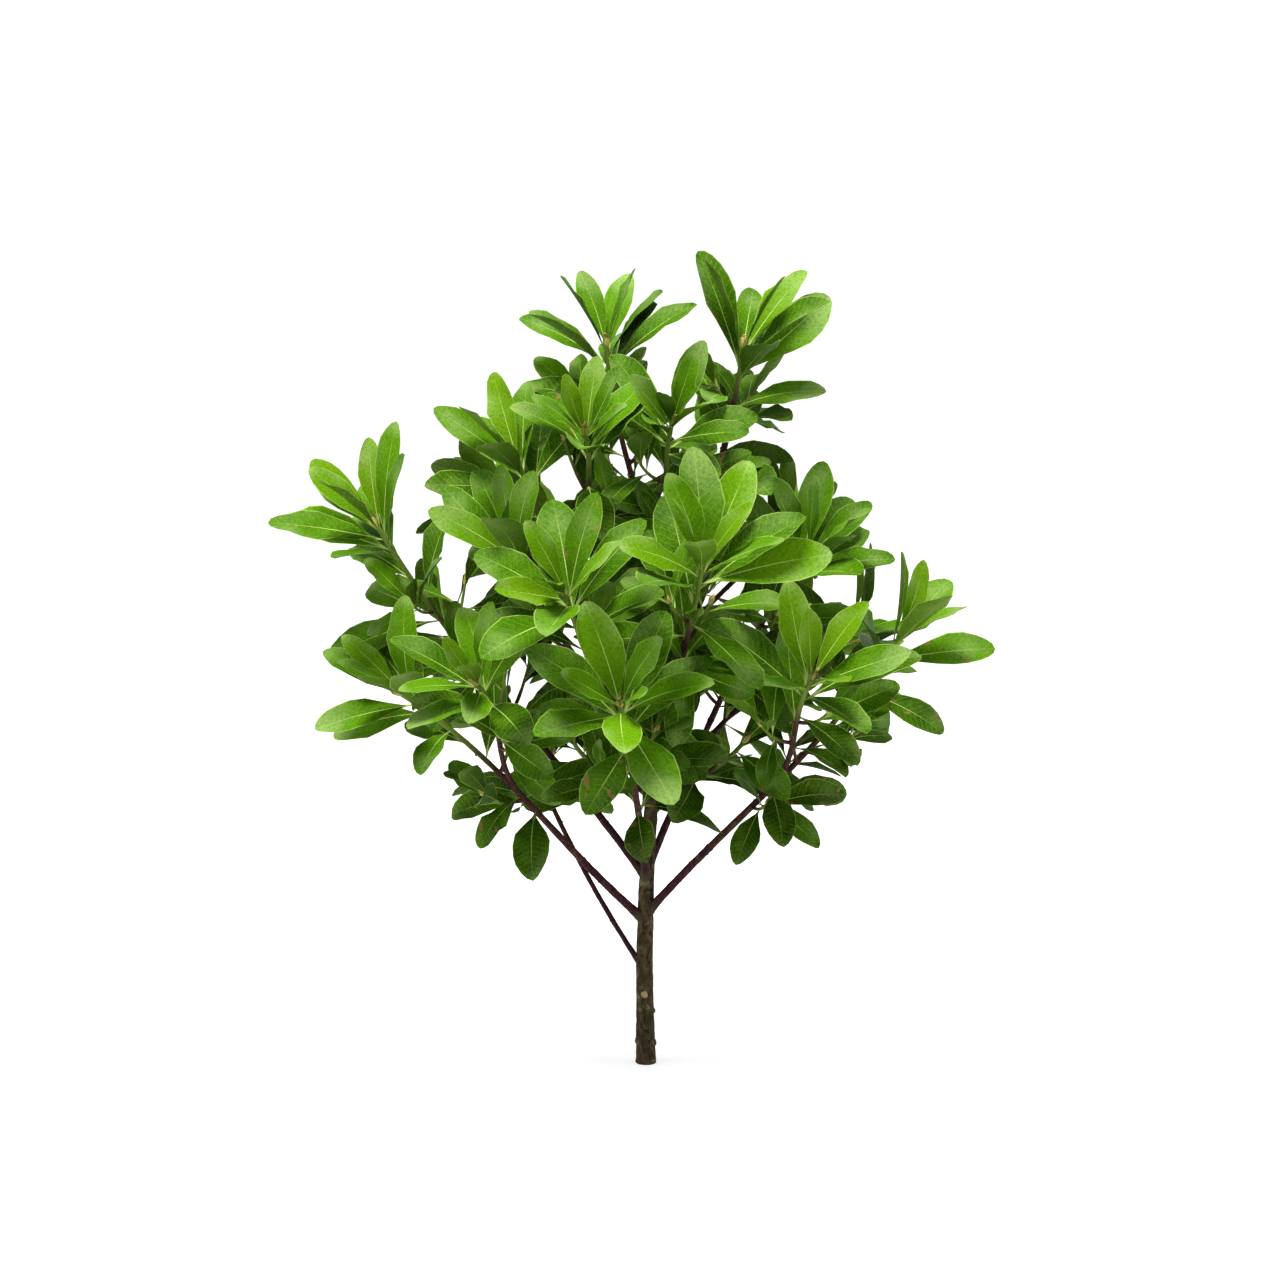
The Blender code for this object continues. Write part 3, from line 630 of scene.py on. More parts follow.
def way_on(curve, share):
    """The direction of the curve, at this share of it."""
    rest = 1 - share
    slope = (
        (curve.leaving - curve.start) * rest**2
        + (curve.arriving - curve.leaving) * (2 * rest * share)
        + (curve.end - curve.arriving) * share**2
    )
    return slope.normalized()


def length_of(curve, steps=24):
    points = [point_on(curve, i / steps) for i in range(steps + 1)]
    return sum((b - a).length for a, b in zip(points, points[1:]))


def across(way):
    """A level direction square to this one."""
    side = way.cross(UP)
    return side.normalized() if side.length > 1e-3 else Vector((1, 0, 0))


def turned_out(way, angle):
    """A direction square to this one, at an angle round it."""
    level = across(way)
    return level * math.cos(angle) + way.cross(level) * math.sin(angle)


def tip_of(shoot):
    turn = math.radians(shoot.turn)
    out = shoot.reach * CROWN_REACH
    return Vector((math.cos(turn) * out, math.sin(turn) * out, shoot.height * SHRUB_HEIGHT))


def curve_between(start, leaving, shoot, pull=BOUGH_PULL):
    """The line of a limb or twig that leaves in one direction and ends along its shoot's axis."""
    end = tip_of(shoot)
    axis = heading_to(shoot.turn, 90 - shoot.lean)
    reach = (end - start).length
    return Curve(start, start + leaving * reach * pull, end - axis * reach * pull, end)


def limb_curves():
    """The line of each limb, from inside its parent to the tip of its first shoot."""
    curves = {}
    for limb in LIMBS:
        if limb.parent == "trunk":
            start = trunk_centre(limb.foot)
        else:
            start = point_on(curves[limb.parent], limb.foot)
        leaving = heading_to(limb.heading, limb.rise)
        curves[limb.name] = curve_between(start, leaving, limb.shoots[0])
    return curves


def limb_radius(limb, share):
    """The taper of a limb, from its foot to the end of its bare part and on to the tip."""
    return mixed(limb.radius, TWIG_TIP_RADIUS, min(1, share * TAPER_RATE) ** TAPER_POWER)


def add_line(lines, curve, low, high, radius_at, second_at, steps=60):
    """A stretch of a curve, as a line with the radius and second colour that these functions give."""
    shares = [mixed(low, high, i / steps) for i in range(steps + 1)]
    radii, seconds = [radius_at(s) for s in shares], [second_at(s) for s in shares]
    lines.add([point_on(curve, s) for s in shares], radii, seconds)


def add_scars(lines, curve, low, high, radius_at, second_at, chance):
    """Short stubs round a curve, where leaves and spurs have come off."""
    length = length_of(curve)
    count = int((high - low) * length / SCAR_STEP)
    for i in range(count):
        share = mixed(low, high, (i + chance.uniform(0.2, 0.8)) / count)
        way = way_on(curve, share)
        out = (turned_out(way, SCAR_TURN * i + chance.uniform(-0.5, 0.5)) + way * 0.7).normalized()
        foot, proud = point_on(curve, share), radius_at(share) + SCAR_PROUD * chance.uniform(0.4, 1.3)
        width = SCAR_RADIUS * chance.uniform(0.7, 1.2)
        lines.add([foot, foot + out * proud], [width * 1.3, width * 0.8], [second_at(share)] * 2, [0.0, 0.85])


curves = limb_curves()
bough_bark = bark_material(
    "bough bark", srgb(34, 8, 16), srgb(72, 42, 42), srgb(72, 66, 48), -0.02, srgb(52, 44, 28)
)
bough_lines = Lines()
for limb in LIMBS:
    if limb.bare:
        curve = curves[limb.name]
        carrier = trunk_radius(limb.foot) if limb.parent == "trunk" else CARRIER_RADIUS
        span = length_of(curve)

        def collar_at(share):
            return math.exp(-max(0, share * span - carrier) / COLLAR_LENGTH)

        def bough_radius(share):
            knuckle = KNUCKLE * math.exp(-(((limb.bare - share) * span / KNUCKLE_LENGTH) ** 2))
            return limb_radius(limb, share) * (1 + COLLAR * collar_at(share) + knuckle)

        grip, scarred = BOUGH_GRIP * carrier / span, SCARS_FROM * carrier / span
        add_line(bough_lines, curve, grip, limb.bare, bough_radius, collar_at)
        chance = random.Random(limb.name)
        add_scars(bough_lines, curve, scarred, limb.bare, bough_radius, lambda s: 0.0, chance)
boughs = wood_piece("bough_bark", bough_lines, bough_bark, BOUGH_SIDES, BOUGH_STEP, BOUGH_RELIEF, BOUGH_GRAIN)
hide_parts(*("bough_" + limb.name for limb in LIMBS if limb.bare))


# The twigs: each bough runs on as a leafy stem that forks into side twigs. Their bark is thin and brown below
# and turns green towards the tips, ringed by leaf scars.

TWIG_SIDES = 12
TWIG_STEP = 0.0020
TWIG_RELIEF = 0.00035
TWIG_PULL = 0.30
TWIG_SHARES = (0, 0.10, 0.30, 0.50, 0.72, 1)
STEM_RINGS = 6
TWIG_RADIUS = 0.0025
TWIG_ROOT_RADIUS = 0.0014
BUD_LENGTH = 0.006
# The share of its limb that a stem starts early, and the share of a line from which its bark turns green
STEM_OVERLAP = 0.012
GREEN_FROM = 0.55
# The shares of a line between which leaves have come off. A stem's start is counted from its bough's end.
STEM_SCARS = (0.04, 0.8)
SIDE_SCARS = (0.15, 0.8)


def chord_point(curve, share, stations):
    """The point at this share, on straight pieces between these stations of the curve."""
    for low, high in zip(stations, stations[1:]):
        if share <= high:
            inside = (share - low) / (high - low)
            return mixed(point_on(curve, low), point_on(curve, high), inside)
    return point_on(curve, stations[-1])


def stem_stations(limb):
    return [mixed(limb.bare, 1, i / STEM_RINGS) for i in range(STEM_RINGS + 1)]


def side_curves(limb, curve):
    """The lines of the twigs that fork from a limb's stem, one for each further shoot."""
    start, way = point_on(curve, limb.fork), way_on(curve, limb.fork)
    found = []
    for shoot in limb.shoots[1:]:
        leaving = (way + (tip_of(shoot) - start).normalized()).normalized()
        found.append(curve_between(start, leaving, shoot, TWIG_PULL))
    return found


sides = {limb.name: side_curves(limb, curves[limb.name]) for limb in LIMBS}
twig_bark = bark_material(
    "twig bark", srgb(42, 18, 18), srgb(82, 54, 44), srgb(84, 80, 54), -0.04, srgb(92, 112, 40)
)
twig_lines = Lines()
for limb in LIMBS:
    curve = curves[limb.name]
    chance = random.Random(limb.name + " twigs")

    def stem_radius(share):
        return limb_radius(limb, share)

    def side_radius(share):
        return mixed(TWIG_RADIUS, TWIG_TIP_RADIUS, share)

    def youth(share):
        return max(0, (share - GREEN_FROM) / (1 - GREEN_FROM))

    add_line(twig_lines, curve, max(0, limb.bare - STEM_OVERLAP), 1, stem_radius, youth)
    add_scars(twig_lines, curve, limb.bare + STEM_SCARS[0], STEM_SCARS[1], stem_radius, youth, chance)
    for side in sides[limb.name]:
        add_line(twig_lines, side, 0, 1, side_radius, youth)
        add_scars(twig_lines, side, *SIDE_SCARS, side_radius, youth, chance)
twigs = wood_piece("twig_bark", twig_lines, twig_bark, TWIG_SIDES, TWIG_STEP, TWIG_RELIEF, BOUGH_GRAIN)
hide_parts(*("foliage_" + limb.name for limb in LIMBS))


# The leaves: leathery obovate blades on short stalks, in a spiral that crowds into a rosette at each shoot's
# tip. They are glossy above with a pale midrib and a fine net of veins, and matt and paler below.
# Their colour carries a painted sheen towards the tips, and painted shade towards the bases and deep in
# the crown and low down.

LEAF_LENGTH = 0.096
LEAF_STATIONS = (0.62, 0.88)
OLD_WIDTH_SHARE = 0.40
YOUNG_WIDTH_SHARE = 0.31
SOLID_THICKNESS = 0.0014
STALK_SHARE = 0.06
STALK_HALF_WIDTH = 0.0010
BASE_POWER = 1.35
TIP_POWER = 0.62
SPIRAL_TURN = math.radians(137.5)
TIP_GAP = 0.002
ROSETTE_DEPTH = 0.030
ROSETTE_POWER = 1.4
STEM_LEAF_STEP = 0.021
STEM_LEAF_SIZE = 0.88
YOUNG_SHRINK = 0.30
WHORL_STEP = 0.003
WHORL_SPREAD = 1.7
WHORL_ANGLE = math.radians(76)
OLDEST_ANGLE = math.radians(56)
YOUNGEST_ANGLE = math.radians(16)
OPENING_POWER = 0.75
# The share of a line, from its bare start, that bears no leaf
LEAFLESS_START = 0.03
YOUNG_ARCH = 12
OLD_ARCH = 32
# How much chance changes a leaf: degrees to each side, or the least and the most
ANGLE_PLAY = 8
SPIN_PLAY = 16
ROLL_PLAY = 14
SIZE_PLAY = (0.88, 1.08)
WIDTH_PLAY = (0.92, 1.10)
ARCH_PLAY = (0.6, 1.2)
WHORL_ANGLE_PLAY = 22
WHORL_SPIN_PLAY = 25
WHORL_SIZE_PLAY = (0.82, 1.10)
BLADE_FROM = 0.30
LEAF_REACH = 0.56
CLEARANCE = 0.0008
LIGHT_LEAN = 0.85
LIGHT_TURN = math.radians(42)
FRONT_HALF = 0.02
FRONT_SPREAD = 0.35
NUDGES = (
    (0, 0), (14, 0), (-14, 0), (0, 12), (0, -12), (24, 8), (-24, 8), (34, -10), (-34, -10),
    (50, 0), (-50, 0), (0, 24), (0, -24), (66, 8), (-66, 8),
)

# The sky gaps: where one sees through the crown from the front, as measured on the photograph. Each
# runs from one place to another on the upright plane through the trunk, and is this wide to each side.
VIEW_POINT = Vector((-0.005, -2.265, 0.780))
Gap = namedtuple("Gap", "across height across_end height_end radius")
SKY_GAPS = (
    Gap(0.018, 0.170, 0.035, 0.200, 0.013),
    Gap(-0.020, 0.160, -0.065, 0.225, 0.009),
    Gap(-0.020, 0.217, -0.022, 0.228, 0.006),
    Gap(0.058, 0.242, 0.075, 0.236, 0.009),
    Gap(-0.125, 0.270, -0.160, 0.295, 0.007),
    Gap(-0.069, 0.280, -0.062, 0.276, 0.007),
    Gap(0.083, 0.286, 0.088, 0.278, 0.005),
    Gap(0.120, 0.282, 0.132, 0.298, 0.004),
    Gap(0.075, 0.310, 0.076, 0.302, 0.008),
    Gap(0.052, 0.308, 0.055, 0.325, 0.007),
    Gap(0.140, 0.310, 0.145, 0.310, 0.005),
    Gap(-0.230, 0.330, -0.215, 0.328, 0.005),
    Gap(-0.105, 0.325, -0.110, 0.355, 0.005),
    Gap(0.153, 0.335, 0.160, 0.335, 0.005),
    Gap(-0.070, 0.380, -0.071, 0.375, 0.006),
    Gap(0.087, 0.377, 0.090, 0.387, 0.005),
    Gap(0.228, 0.380, 0.252, 0.387, 0.004),
    Gap(-0.190, 0.398, -0.180, 0.388, 0.006),
    Gap(0.206, 0.402, 0.202, 0.435, 0.006),
    Gap(0.040, 0.412, 0.060, 0.424, 0.006),
    Gap(0.077, 0.420, 0.074, 0.430, 0.006),
    Gap(0.155, 0.420, 0.172, 0.423, 0.008),
    Gap(-0.148, 0.416, -0.147, 0.427, 0.006),
    Gap(-0.167, 0.424, -0.165, 0.448, 0.008),
    Gap(-0.207, 0.460, -0.198, 0.525, 0.007),
    Gap(-0.070, 0.510, -0.070, 0.525, 0.011),
    Gap(-0.018, 0.528, -0.020, 0.539, 0.007),
    Gap(0.006, 0.525, 0.005, 0.537, 0.006),
    Gap(0.030, 0.558, 0.034, 0.567, 0.005),
    Gap(0.015, 0.600, 0.028, 0.645, 0.006),
    Gap(0.068, 0.622, 0.055, 0.645, 0.006),
    Gap(-0.048, 0.640, -0.070, 0.662, 0.004),
)
# Where a blade is looked at for a gap: shares of its length, and of its half width to each side
GAP_STATIONS = (0.3, 0.45, 0.6, 0.72, 0.84, 0.94, 1)
GAP_COLUMNS = (-1, -0.5, 0, 0.5, 1)

BLADE_ROWS = 9
BLADE_COLUMNS = 4
BLADE_THICKNESS = 0.0005
STALK_THICKNESS = 0.0013
# The blade's half width, as a share of its widest, against the share of its length
BLADE_OUTLINE = (
    (0, 0), (0.09, 0.06), (0.22, 0.29), (0.36, 0.62), (0.49, 0.89), (0.61, 1), (0.73, 0.96), (0.84, 0.79),
    (0.925, 0.53), (0.98, 0.27), (1, 0),
)
BLADE_WIDTH = 0.89
TILE_COLUMNS = 8
TILE_ROWS = 6
BLEMISHED = 0.07
VEIN_PAIRS = 15
VEIN_SLANT = 0.13
NET_SCALE = 42
LEAF_BUMP = 0.0009
# A leaf's tone runs from 0, light, to 1, dark: where it starts, what its age adds, the painted shade that its
# place deep in the crown and low down adds, and the play
TONE_START = 0.06
TONE_OLD = 0.45
TONE_INNER_SHADE = 0.35
TONE_LOW_SHADE = 0.7
TONE_PLAY = 0.28

Leaf = namedtuple("Leaf", "root way up length width arch age")


def tube(points, ways, radii, sides_round):
    """Vertices and faces of a closed tapering tube."""
    verts = []
    side = across(ways[0])
    for point, way, radius in zip(points, ways, radii):
        side = (side - way * side.dot(way)).normalized()
        other = way.cross(side)
        for i in range(sides_round):
            angle = 2 * math.pi * i / sides_round
            verts.append(point + (side * math.cos(angle) + other * math.sin(angle)) * radius)
    ends = [tuple(reversed(range(sides_round))), tuple(range(len(verts) - sides_round, len(verts)))]
    return verts, walls(len(points), sides_round) + ends


def curve_tube(curve, shares, radii, sides_round, budded=False):
    points = [point_on(curve, s) for s in shares]
    ways = [way_on(curve, s) for s in shares]
    if budded:
        points.append(points[-1] + ways[-1] * BUD_LENGTH)
        ways.append(ways[-1])
        radii = radii + [radii[-1] * 0.3]
    return tube(points, ways, radii, sides_round)


def blade_share(share):
    """The solid blade's half width at this share of the leaf's length, as a share of its widest."""
    along = max(0.0, (share - STALK_SHARE) / (1 - STALK_SHARE))
    widest = BASE_POWER / (BASE_POWER + TIP_POWER)
    most = widest**BASE_POWER * (1 - widest) ** TIP_POWER
    return along**BASE_POWER * (1 - along) ** TIP_POWER / most


def leaf_section(leaf, share):
    """The point, the direction and the upper side of the midrib, which arches over in a plain arc."""
    bent = leaf.arch * share
    ahead = leaf.length * (math.sin(bent) / leaf.arch)
    down = leaf.length * ((1 - math.cos(bent)) / leaf.arch)
    point = leaf.root + leaf.way * ahead - leaf.up * down
    way = leaf.way * math.cos(bent) - leaf.up * math.sin(bent)
    up = leaf.up * math.cos(bent) + leaf.way * math.sin(bent)
    return point, way, up


def leaf_ring(leaf, share, margin):
    """A section of the solid blade, widened by a margin."""
    point, _, up = leaf_section(leaf, share)
    side = leaf.way.cross(leaf.up)
    half = max(STALK_HALF_WIDTH, leaf.width / 2 * blade_share(share)) + margin
    rise = up * (SOLID_THICKNESS / 2)
    left, right, below = point + rise - side * half, point + rise + side * half, point - rise - up * margin
    return [left, point + rise + up * margin, right, below] if margin else [left, right, below]


def leaf_solid(leaf, first=0.0, margin=0.0):
    """The thin closed solid of a blade, as a test shape that starts this share along the leaf."""
    rings = [leaf_ring(leaf, share, margin) for share in (0, *LEAF_STATIONS)]
    if first:
        rings[0] = [mixed(a, b, first / LEAF_STATIONS[0]) for a, b in zip(rings[0], rings[1])]
    tip, way, _ = leaf_section(leaf, 1)
    verts = [v for ring in rings for v in ring] + [tip + way * margin]
    count = len(rings[0])
    last = (len(rings) - 1) * count
    pointed = [(last + i, last + (i + 1) % count, last + count) for i in range(count)]
    return verts, [tuple(reversed(range(count)))] + walls(len(rings), count) + pointed


def tree_of(mesh):
    return BVHTree.FromPolygons(*mesh)


def light_on(point):
    """The side that a leaf here turns to: up, and out of the crown, or to the front in its front half."""
    out = Vector((point.x, point.y, 0)).normalized()
    if point.y < FRONT_HALF:
        out = Vector((FRONT_SPREAD * out.x, -1, 0))
    return (UP + out * LIGHT_LEAN).normalized()


def played(chance, most):
    """A turn by chance, of up to this many degrees to either side."""
    return math.radians(chance.uniform(-most, most))


def shoot_leaves(curve, stations, shoot):
    """Where each leaf of a shoot is and how it points, from the lowest to the youngest, by a seeded rule."""
    chance = random.Random(shoot.seed)
    length = length_of(curve)
    for i in range(shoot.leaves + shoot.stem_leaves):
        in_rosette = i - shoot.stem_leaves
        age = 1.0 if in_rosette < 0 else 1 - in_rosette / max(1, shoot.leaves - 1)
        below = TIP_GAP + ROSETTE_DEPTH * age**ROSETTE_POWER + STEM_LEAF_STEP * max(0, -in_rosette)
        angle = mixed(YOUNGEST_ANGLE, OLDEST_ANGLE, age**OPENING_POWER) + played(chance, ANGLE_PLAY)
        spin = math.radians(shoot.first + chance.uniform(-SPIN_PLAY, SPIN_PLAY)) + SPIRAL_TURN * i
        size = shoot.size * (1 - YOUNG_SHRINK * (1 - age) ** 2) * chance.uniform(*SIZE_PLAY)
        if in_rosette < 0:
            size *= STEM_LEAF_SIZE
        share = 1 - below / length
        if share > stations[0] + LEAFLESS_START:
            yield leaf_place(curve, stations, share, angle, spin, size, age, chance)


def whorl_leaves(curve, stations, fork, whorl):
    """The older leaves round a limb below its fork, each further down than the one before it."""
    chance = random.Random(whorl.seed)
    length = length_of(curve)
    for i in range(whorl.leaves):
        share = fork - WHORL_STEP * WHORL_SPREAD**i / length
        angle = WHORL_ANGLE + played(chance, WHORL_ANGLE_PLAY)
        spin = math.radians(whorl.first + chance.uniform(-WHORL_SPIN_PLAY, WHORL_SPIN_PLAY)) + SPIRAL_TURN * i
        size = STEM_LEAF_SIZE * chance.uniform(*WHORL_SIZE_PLAY)
        if share > stations[0] + LEAFLESS_START:
            yield leaf_place(curve, stations, share, angle, spin, size, 1.0, chance)


def leaf_place(curve, stations, share, angle, spin, size, age, chance):
    """All that says where a leaf stands on a curve, how large it is and how it is bent and turned."""
    root, axis = chord_point(curve, share, stations), way_on(curve, share)
    length = LEAF_LENGTH * size
    width = length * mixed(YOUNG_WIDTH_SHARE, OLD_WIDTH_SHARE, age) * chance.uniform(*WIDTH_PLAY)
    arch = math.radians(mixed(YOUNG_ARCH, OLD_ARCH, age) * chance.uniform(*ARCH_PLAY))
    roll = played(chance, ROLL_PLAY)
    return root, axis, angle, spin, length, width, arch, roll, light_on(root), age


def aimed_leaf(place, spin_nudge=0, angle_nudge=0):
    """The leaf at a place, turned by these degrees. Its upper side faces the tip, then turns to the light."""
    root, axis, angle, spin, size, width, arch, roll, light, age = place
    angle += math.radians(angle_nudge)
    spin += math.radians(spin_nudge)
    out = turned_out(axis, spin)
    way = axis * math.cos(angle) + out * math.sin(angle)
    up = axis * math.sin(angle) - out * math.cos(angle)
    lit = light - way * light.dot(way)
    to_light = math.atan2(way.dot(up.cross(lit)), up.dot(lit))
    roll += max(-LIGHT_TURN, min(LIGHT_TURN, to_light))
    return Leaf(root, way, Matrix.Rotation(roll, 3, way) @ up, size, width, arch, age)


def seen_at(point):
    """Where a point is seen from the front, on the upright plane through the trunk."""
    seen = VIEW_POINT + (point - VIEW_POINT) * (VIEW_POINT.y / (VIEW_POINT.y - point.y))
    return Vector((seen.x, seen.z))


def far_from(spot, gap):
    """How far a spot lies from the middle line of a gap."""
    start, end = Vector((gap.across, gap.height)), Vector((gap.across_end, gap.height_end))
    along = end - start
    share = max(0, min(1, (spot - start).dot(along) / along.length_squared))
    return (spot - start - along * share).length


def in_gap(leaf):
    """Whether the blade stands in a sky gap."""
    middle = seen_at(leaf_section(leaf, 0.6)[0])
    near = [gap for gap in SKY_GAPS if far_from(middle, gap) < gap.radius + leaf.length * 0.6]
    side = leaf.way.cross(leaf.up)
    for share in GAP_STATIONS if near else ():
        point, half = leaf_section(leaf, share)[0], leaf.width / 2 * blade_share(share)
        for out in GAP_COLUMNS:
            spot = seen_at(point + side * half * out)
            if any(far_from(spot, gap) < gap.radius for gap in near):
                return True
    return False


class Crown:
    """The shapes that a new leaf has to keep clear of."""

    def __init__(self):
        self.limbs = []
        self.twigs = {}
        self.leaves = []

    def clear(self, leaf, owner):
        if in_gap(leaf):
            return False
        middle, reach = leaf_section(leaf, 0.5)[0], leaf.length * LEAF_REACH
        whole = tree_of(leaf_solid(leaf, STALK_SHARE, CLEARANCE))
        blade = tree_of(leaf_solid(leaf, BLADE_FROM, CLEARANCE))
        if any(whole.overlap(limb) for limb in self.limbs):
            return False
        for name, tree in self.twigs.items():
            if (blade if name.startswith(owner + ":") else whole).overlap(tree):
                return False
        for name, centre, far, tree, tree_blade in self.leaves:
            if (centre - middle).length > far + reach:
                continue
            if name == owner and blade.overlap(tree_blade):
                return False
            if name != owner and whole.overlap(tree):
                return False
        return True

    def add(self, leaf, owner):
        middle, reach = leaf_section(leaf, 0.5)[0], leaf.length * LEAF_REACH
        whole, blade = tree_of(leaf_solid(leaf)), tree_of(leaf_solid(leaf, BLADE_FROM))
        self.leaves.append((owner, middle, reach, whole, blade))

    def take(self, places, owner, allowed=lambda leaf: True):
        """Adds and gives the leaves of these places that have room, turned a little where that helps."""
        kept = []
        for place in places:
            tries = (aimed_leaf(place, *nudge) for nudge in NUDGES)
            leaf = next((t for t in tries if allowed(t) and self.clear(t, owner)), None)
            if leaf:
                self.add(leaf, owner)
                kept.append(leaf)
        return kept


def trunk_way(height, reach=0.001):
    """The trunk's direction at this height."""
    return (trunk_centre(height + reach) - trunk_centre(height - reach)).normalized()


def wooded_crown():
    """A crown with all its wood in place, as the solids have it, and no leaf yet."""
    crown = Crown()
    heights = [TRUNK_HEIGHT * (i / 18) ** 1.1 for i in range(19)]
    centres = [trunk_centre(h) for h in heights]
    ways = [UP] + [trunk_way(h) for h in heights[1:]]
    crown.limbs.append(tree_of(tube(centres, ways, [trunk_radius(h) for h in heights], 10)))
    for limb in LIMBS:
        curve, stations = curves[limb.name], stem_stations(limb)
        if limb.bare:
            shares = [limb.bare * i / 6 for i in range(7)]
            crown.limbs.append(tree_of(curve_tube(curve, shares, [limb_radius(limb, s) for s in shares], 6)))
        radii = [limb_radius(limb, s) for s in stations]
        crown.twigs[limb.name + ":stem"] = tree_of(curve_tube(curve, stations, radii, 3, True))
        radii = [TWIG_ROOT_RADIUS] + [mixed(TWIG_RADIUS, TWIG_TIP_RADIUS, s) for s in TWIG_SHARES[1:]]
        for i, twig in enumerate(sides[limb.name]):
            crown.twigs[f"{limb.name}:{i}"] = tree_of(curve_tube(twig, TWIG_SHARES, radii, 3, True))
    return crown


def grown_leaves(crown, limb, curve):
    """The leaves of one mass."""
    stations = stem_stations(limb)
    places = list(shoot_leaves(curve, stations, limb.shoots[0]))
    for shoot, side in zip(limb.shoots[1:], sides[limb.name]):
        places += shoot_leaves(side, TWIG_SHARES, shoot)
    places += whorl_leaves(curve, stations, limb.fork, limb.whorl)
    return crown.take(places, limb.name)


def blade_tree():
    """The tree that sets a blade on each point: two sheets that meet at the rim, bent by its values."""
    tree = Growth("blades", {
        "Points": "Geometry", "Rows": "Int", "Columns": "Int", "Thickness": "Float",
        "Stalk Thickness": "Float", "Stalk Half Width": "Float", "Upper": "Material", "Under": "Material",
    })
    given = tree.inputs
    place = tree.add("GeometryNodeInputPosition")
    parts = tree.add("ShaderNodeSeparateXYZ", {}, {"Vector": place})
    grid = tree.add("GeometryNodeMeshGrid", {}, {
        "Size X": 2.0, "Size Y": 1.0, "Vertices X": given["Columns"] + 1, "Vertices Y": given["Rows"] + 1,
    })
    crowded = (1 - (0.5 - parts["Y"]) ** 1.8) ** 1.2
    sheet = tree.keep(grid, "across", parts["X"])
    sheet = tree.keep(sheet, "along", crowded)
    along, over = tree.value("along"), tree.value("across")
    outline = tree.add("ShaderNodeFloatCurve", {"points": BLADE_OUTLINE}, {"Value": along})
    body = 1 - over * over
    flat = tree.add("ShaderNodeCombineXYZ", {}, {"X": over * outline, "Y": along, "Z": body * 0.1})
    upper = tree.moved(tree.keep(sheet, "body", body), flat)
    upper = tree.keep(upper, "under", 0.0, "FLOAT", "FACE")
    sunk = tree.add("ShaderNodeCombineXYZ", {}, {"X": over * outline, "Y": along, "Z": body * -0.1})
    under = tree.moved(tree.keep(sheet, "body", body * -1.0), sunk)
    under = tree.add("GeometryNodeFlipFaces", {}, {"Mesh": tree.keep(under, "under", 1.0, "FLOAT", "FACE")})
    both = tree.add("GeometryNodeJoinGeometry", {}, {"Geometry": upper})
    tree.data.links.new(under.socket, both.node.inputs[0])
    blade = tree.add("GeometryNodeMergeByDistance", {}, {"Geometry": both, "Distance": 0.0001})

    many = tree.add("GeometryNodeInstanceOnPoints", {}, {"Points": given["Points"], "Instance": blade})
    mesh = tree.add("GeometryNodeRealizeInstances", {}, {"Geometry": many})

    root, way, up = (tree.value(name, "FLOAT_VECTOR") for name in ("root", "way", "up"))
    length, width, arch = tree.value("length"), tree.value("width"), tree.value("arch")
    bent = along * arch
    sine, cosine = tree.calculate("SINE", bent), tree.calculate("COSINE", bent)
    side = tree.calculate("CROSS_PRODUCT", way, up)
    swing = tree.value("sway") * length * tree.calculate("SINE", along * math.pi)
    centre = root + way * (sine * length / arch) - up * ((1 - cosine) * length / arch) + side * swing
    level = up * cosine + way * sine
    turn = tree.value("twist") * along
    turn_sine, turn_cosine = tree.calculate("SINE", turn), tree.calculate("COSINE", turn)
    out = side * turn_cosine + level * turn_sine
    rise = level * turn_cosine - side * turn_sine
    uneven = tree.calculate("SINE", along * 9.0 + tree.value("phase") * 2.0 + over * 1.6) * 0.05 + 1.0
    half = tree.calculate("MAXIMUM", width * 0.5 * outline * uneven, given["Stalk Half Width"])
    edge = abs(over)
    ripple = tree.calculate("SINE", along * 17.0 + tree.value("phase") + over * 1.3)
    cup = tree.value("cup") * (edge * 0.6 + edge * edge * 0.4) * half
    lift = cup + tree.value("wave") * ripple * edge * edge * outline
    stalk = tree.band(along, 0.04, 0.3, given["Stalk Thickness"], given["Thickness"])
    thick = tree.value("body") * stalk * 0.5
    mesh = tree.moved(mesh, centre + out * (over * half) + rise * (lift + thick))

    column, row = tree.value("column"), tree.value("row") + tree.value("under") * (TILE_ROWS / 2)
    map_place = tree.add("ShaderNodeCombineXYZ", {}, {
        "X": (column + 0.5 + over * outline * 0.46) / TILE_COLUMNS,
        "Y": (row + 0.02 + along * 0.96) / TILE_ROWS,
    })
    mesh = tree.keep(mesh, "OFBake", map_place, "FLOAT2", "CORNER")
    mesh = tree.smooth(mesh, math.radians(70))
    mesh = tree.add("GeometryNodeSetMaterial", {}, {"Geometry": mesh, "Material": given["Upper"]})
    which = {"A": tree.value("under"), "B": 0.5}
    beneath = tree.add("FunctionNodeCompare", {"operation": "GREATER_THAN"}, which)
    mesh = tree.add("GeometryNodeSetMaterial", {}, {
        "Geometry": mesh, "Selection": beneath, "Material": given["Under"],
    })
    tree.finish(mesh)
    return tree


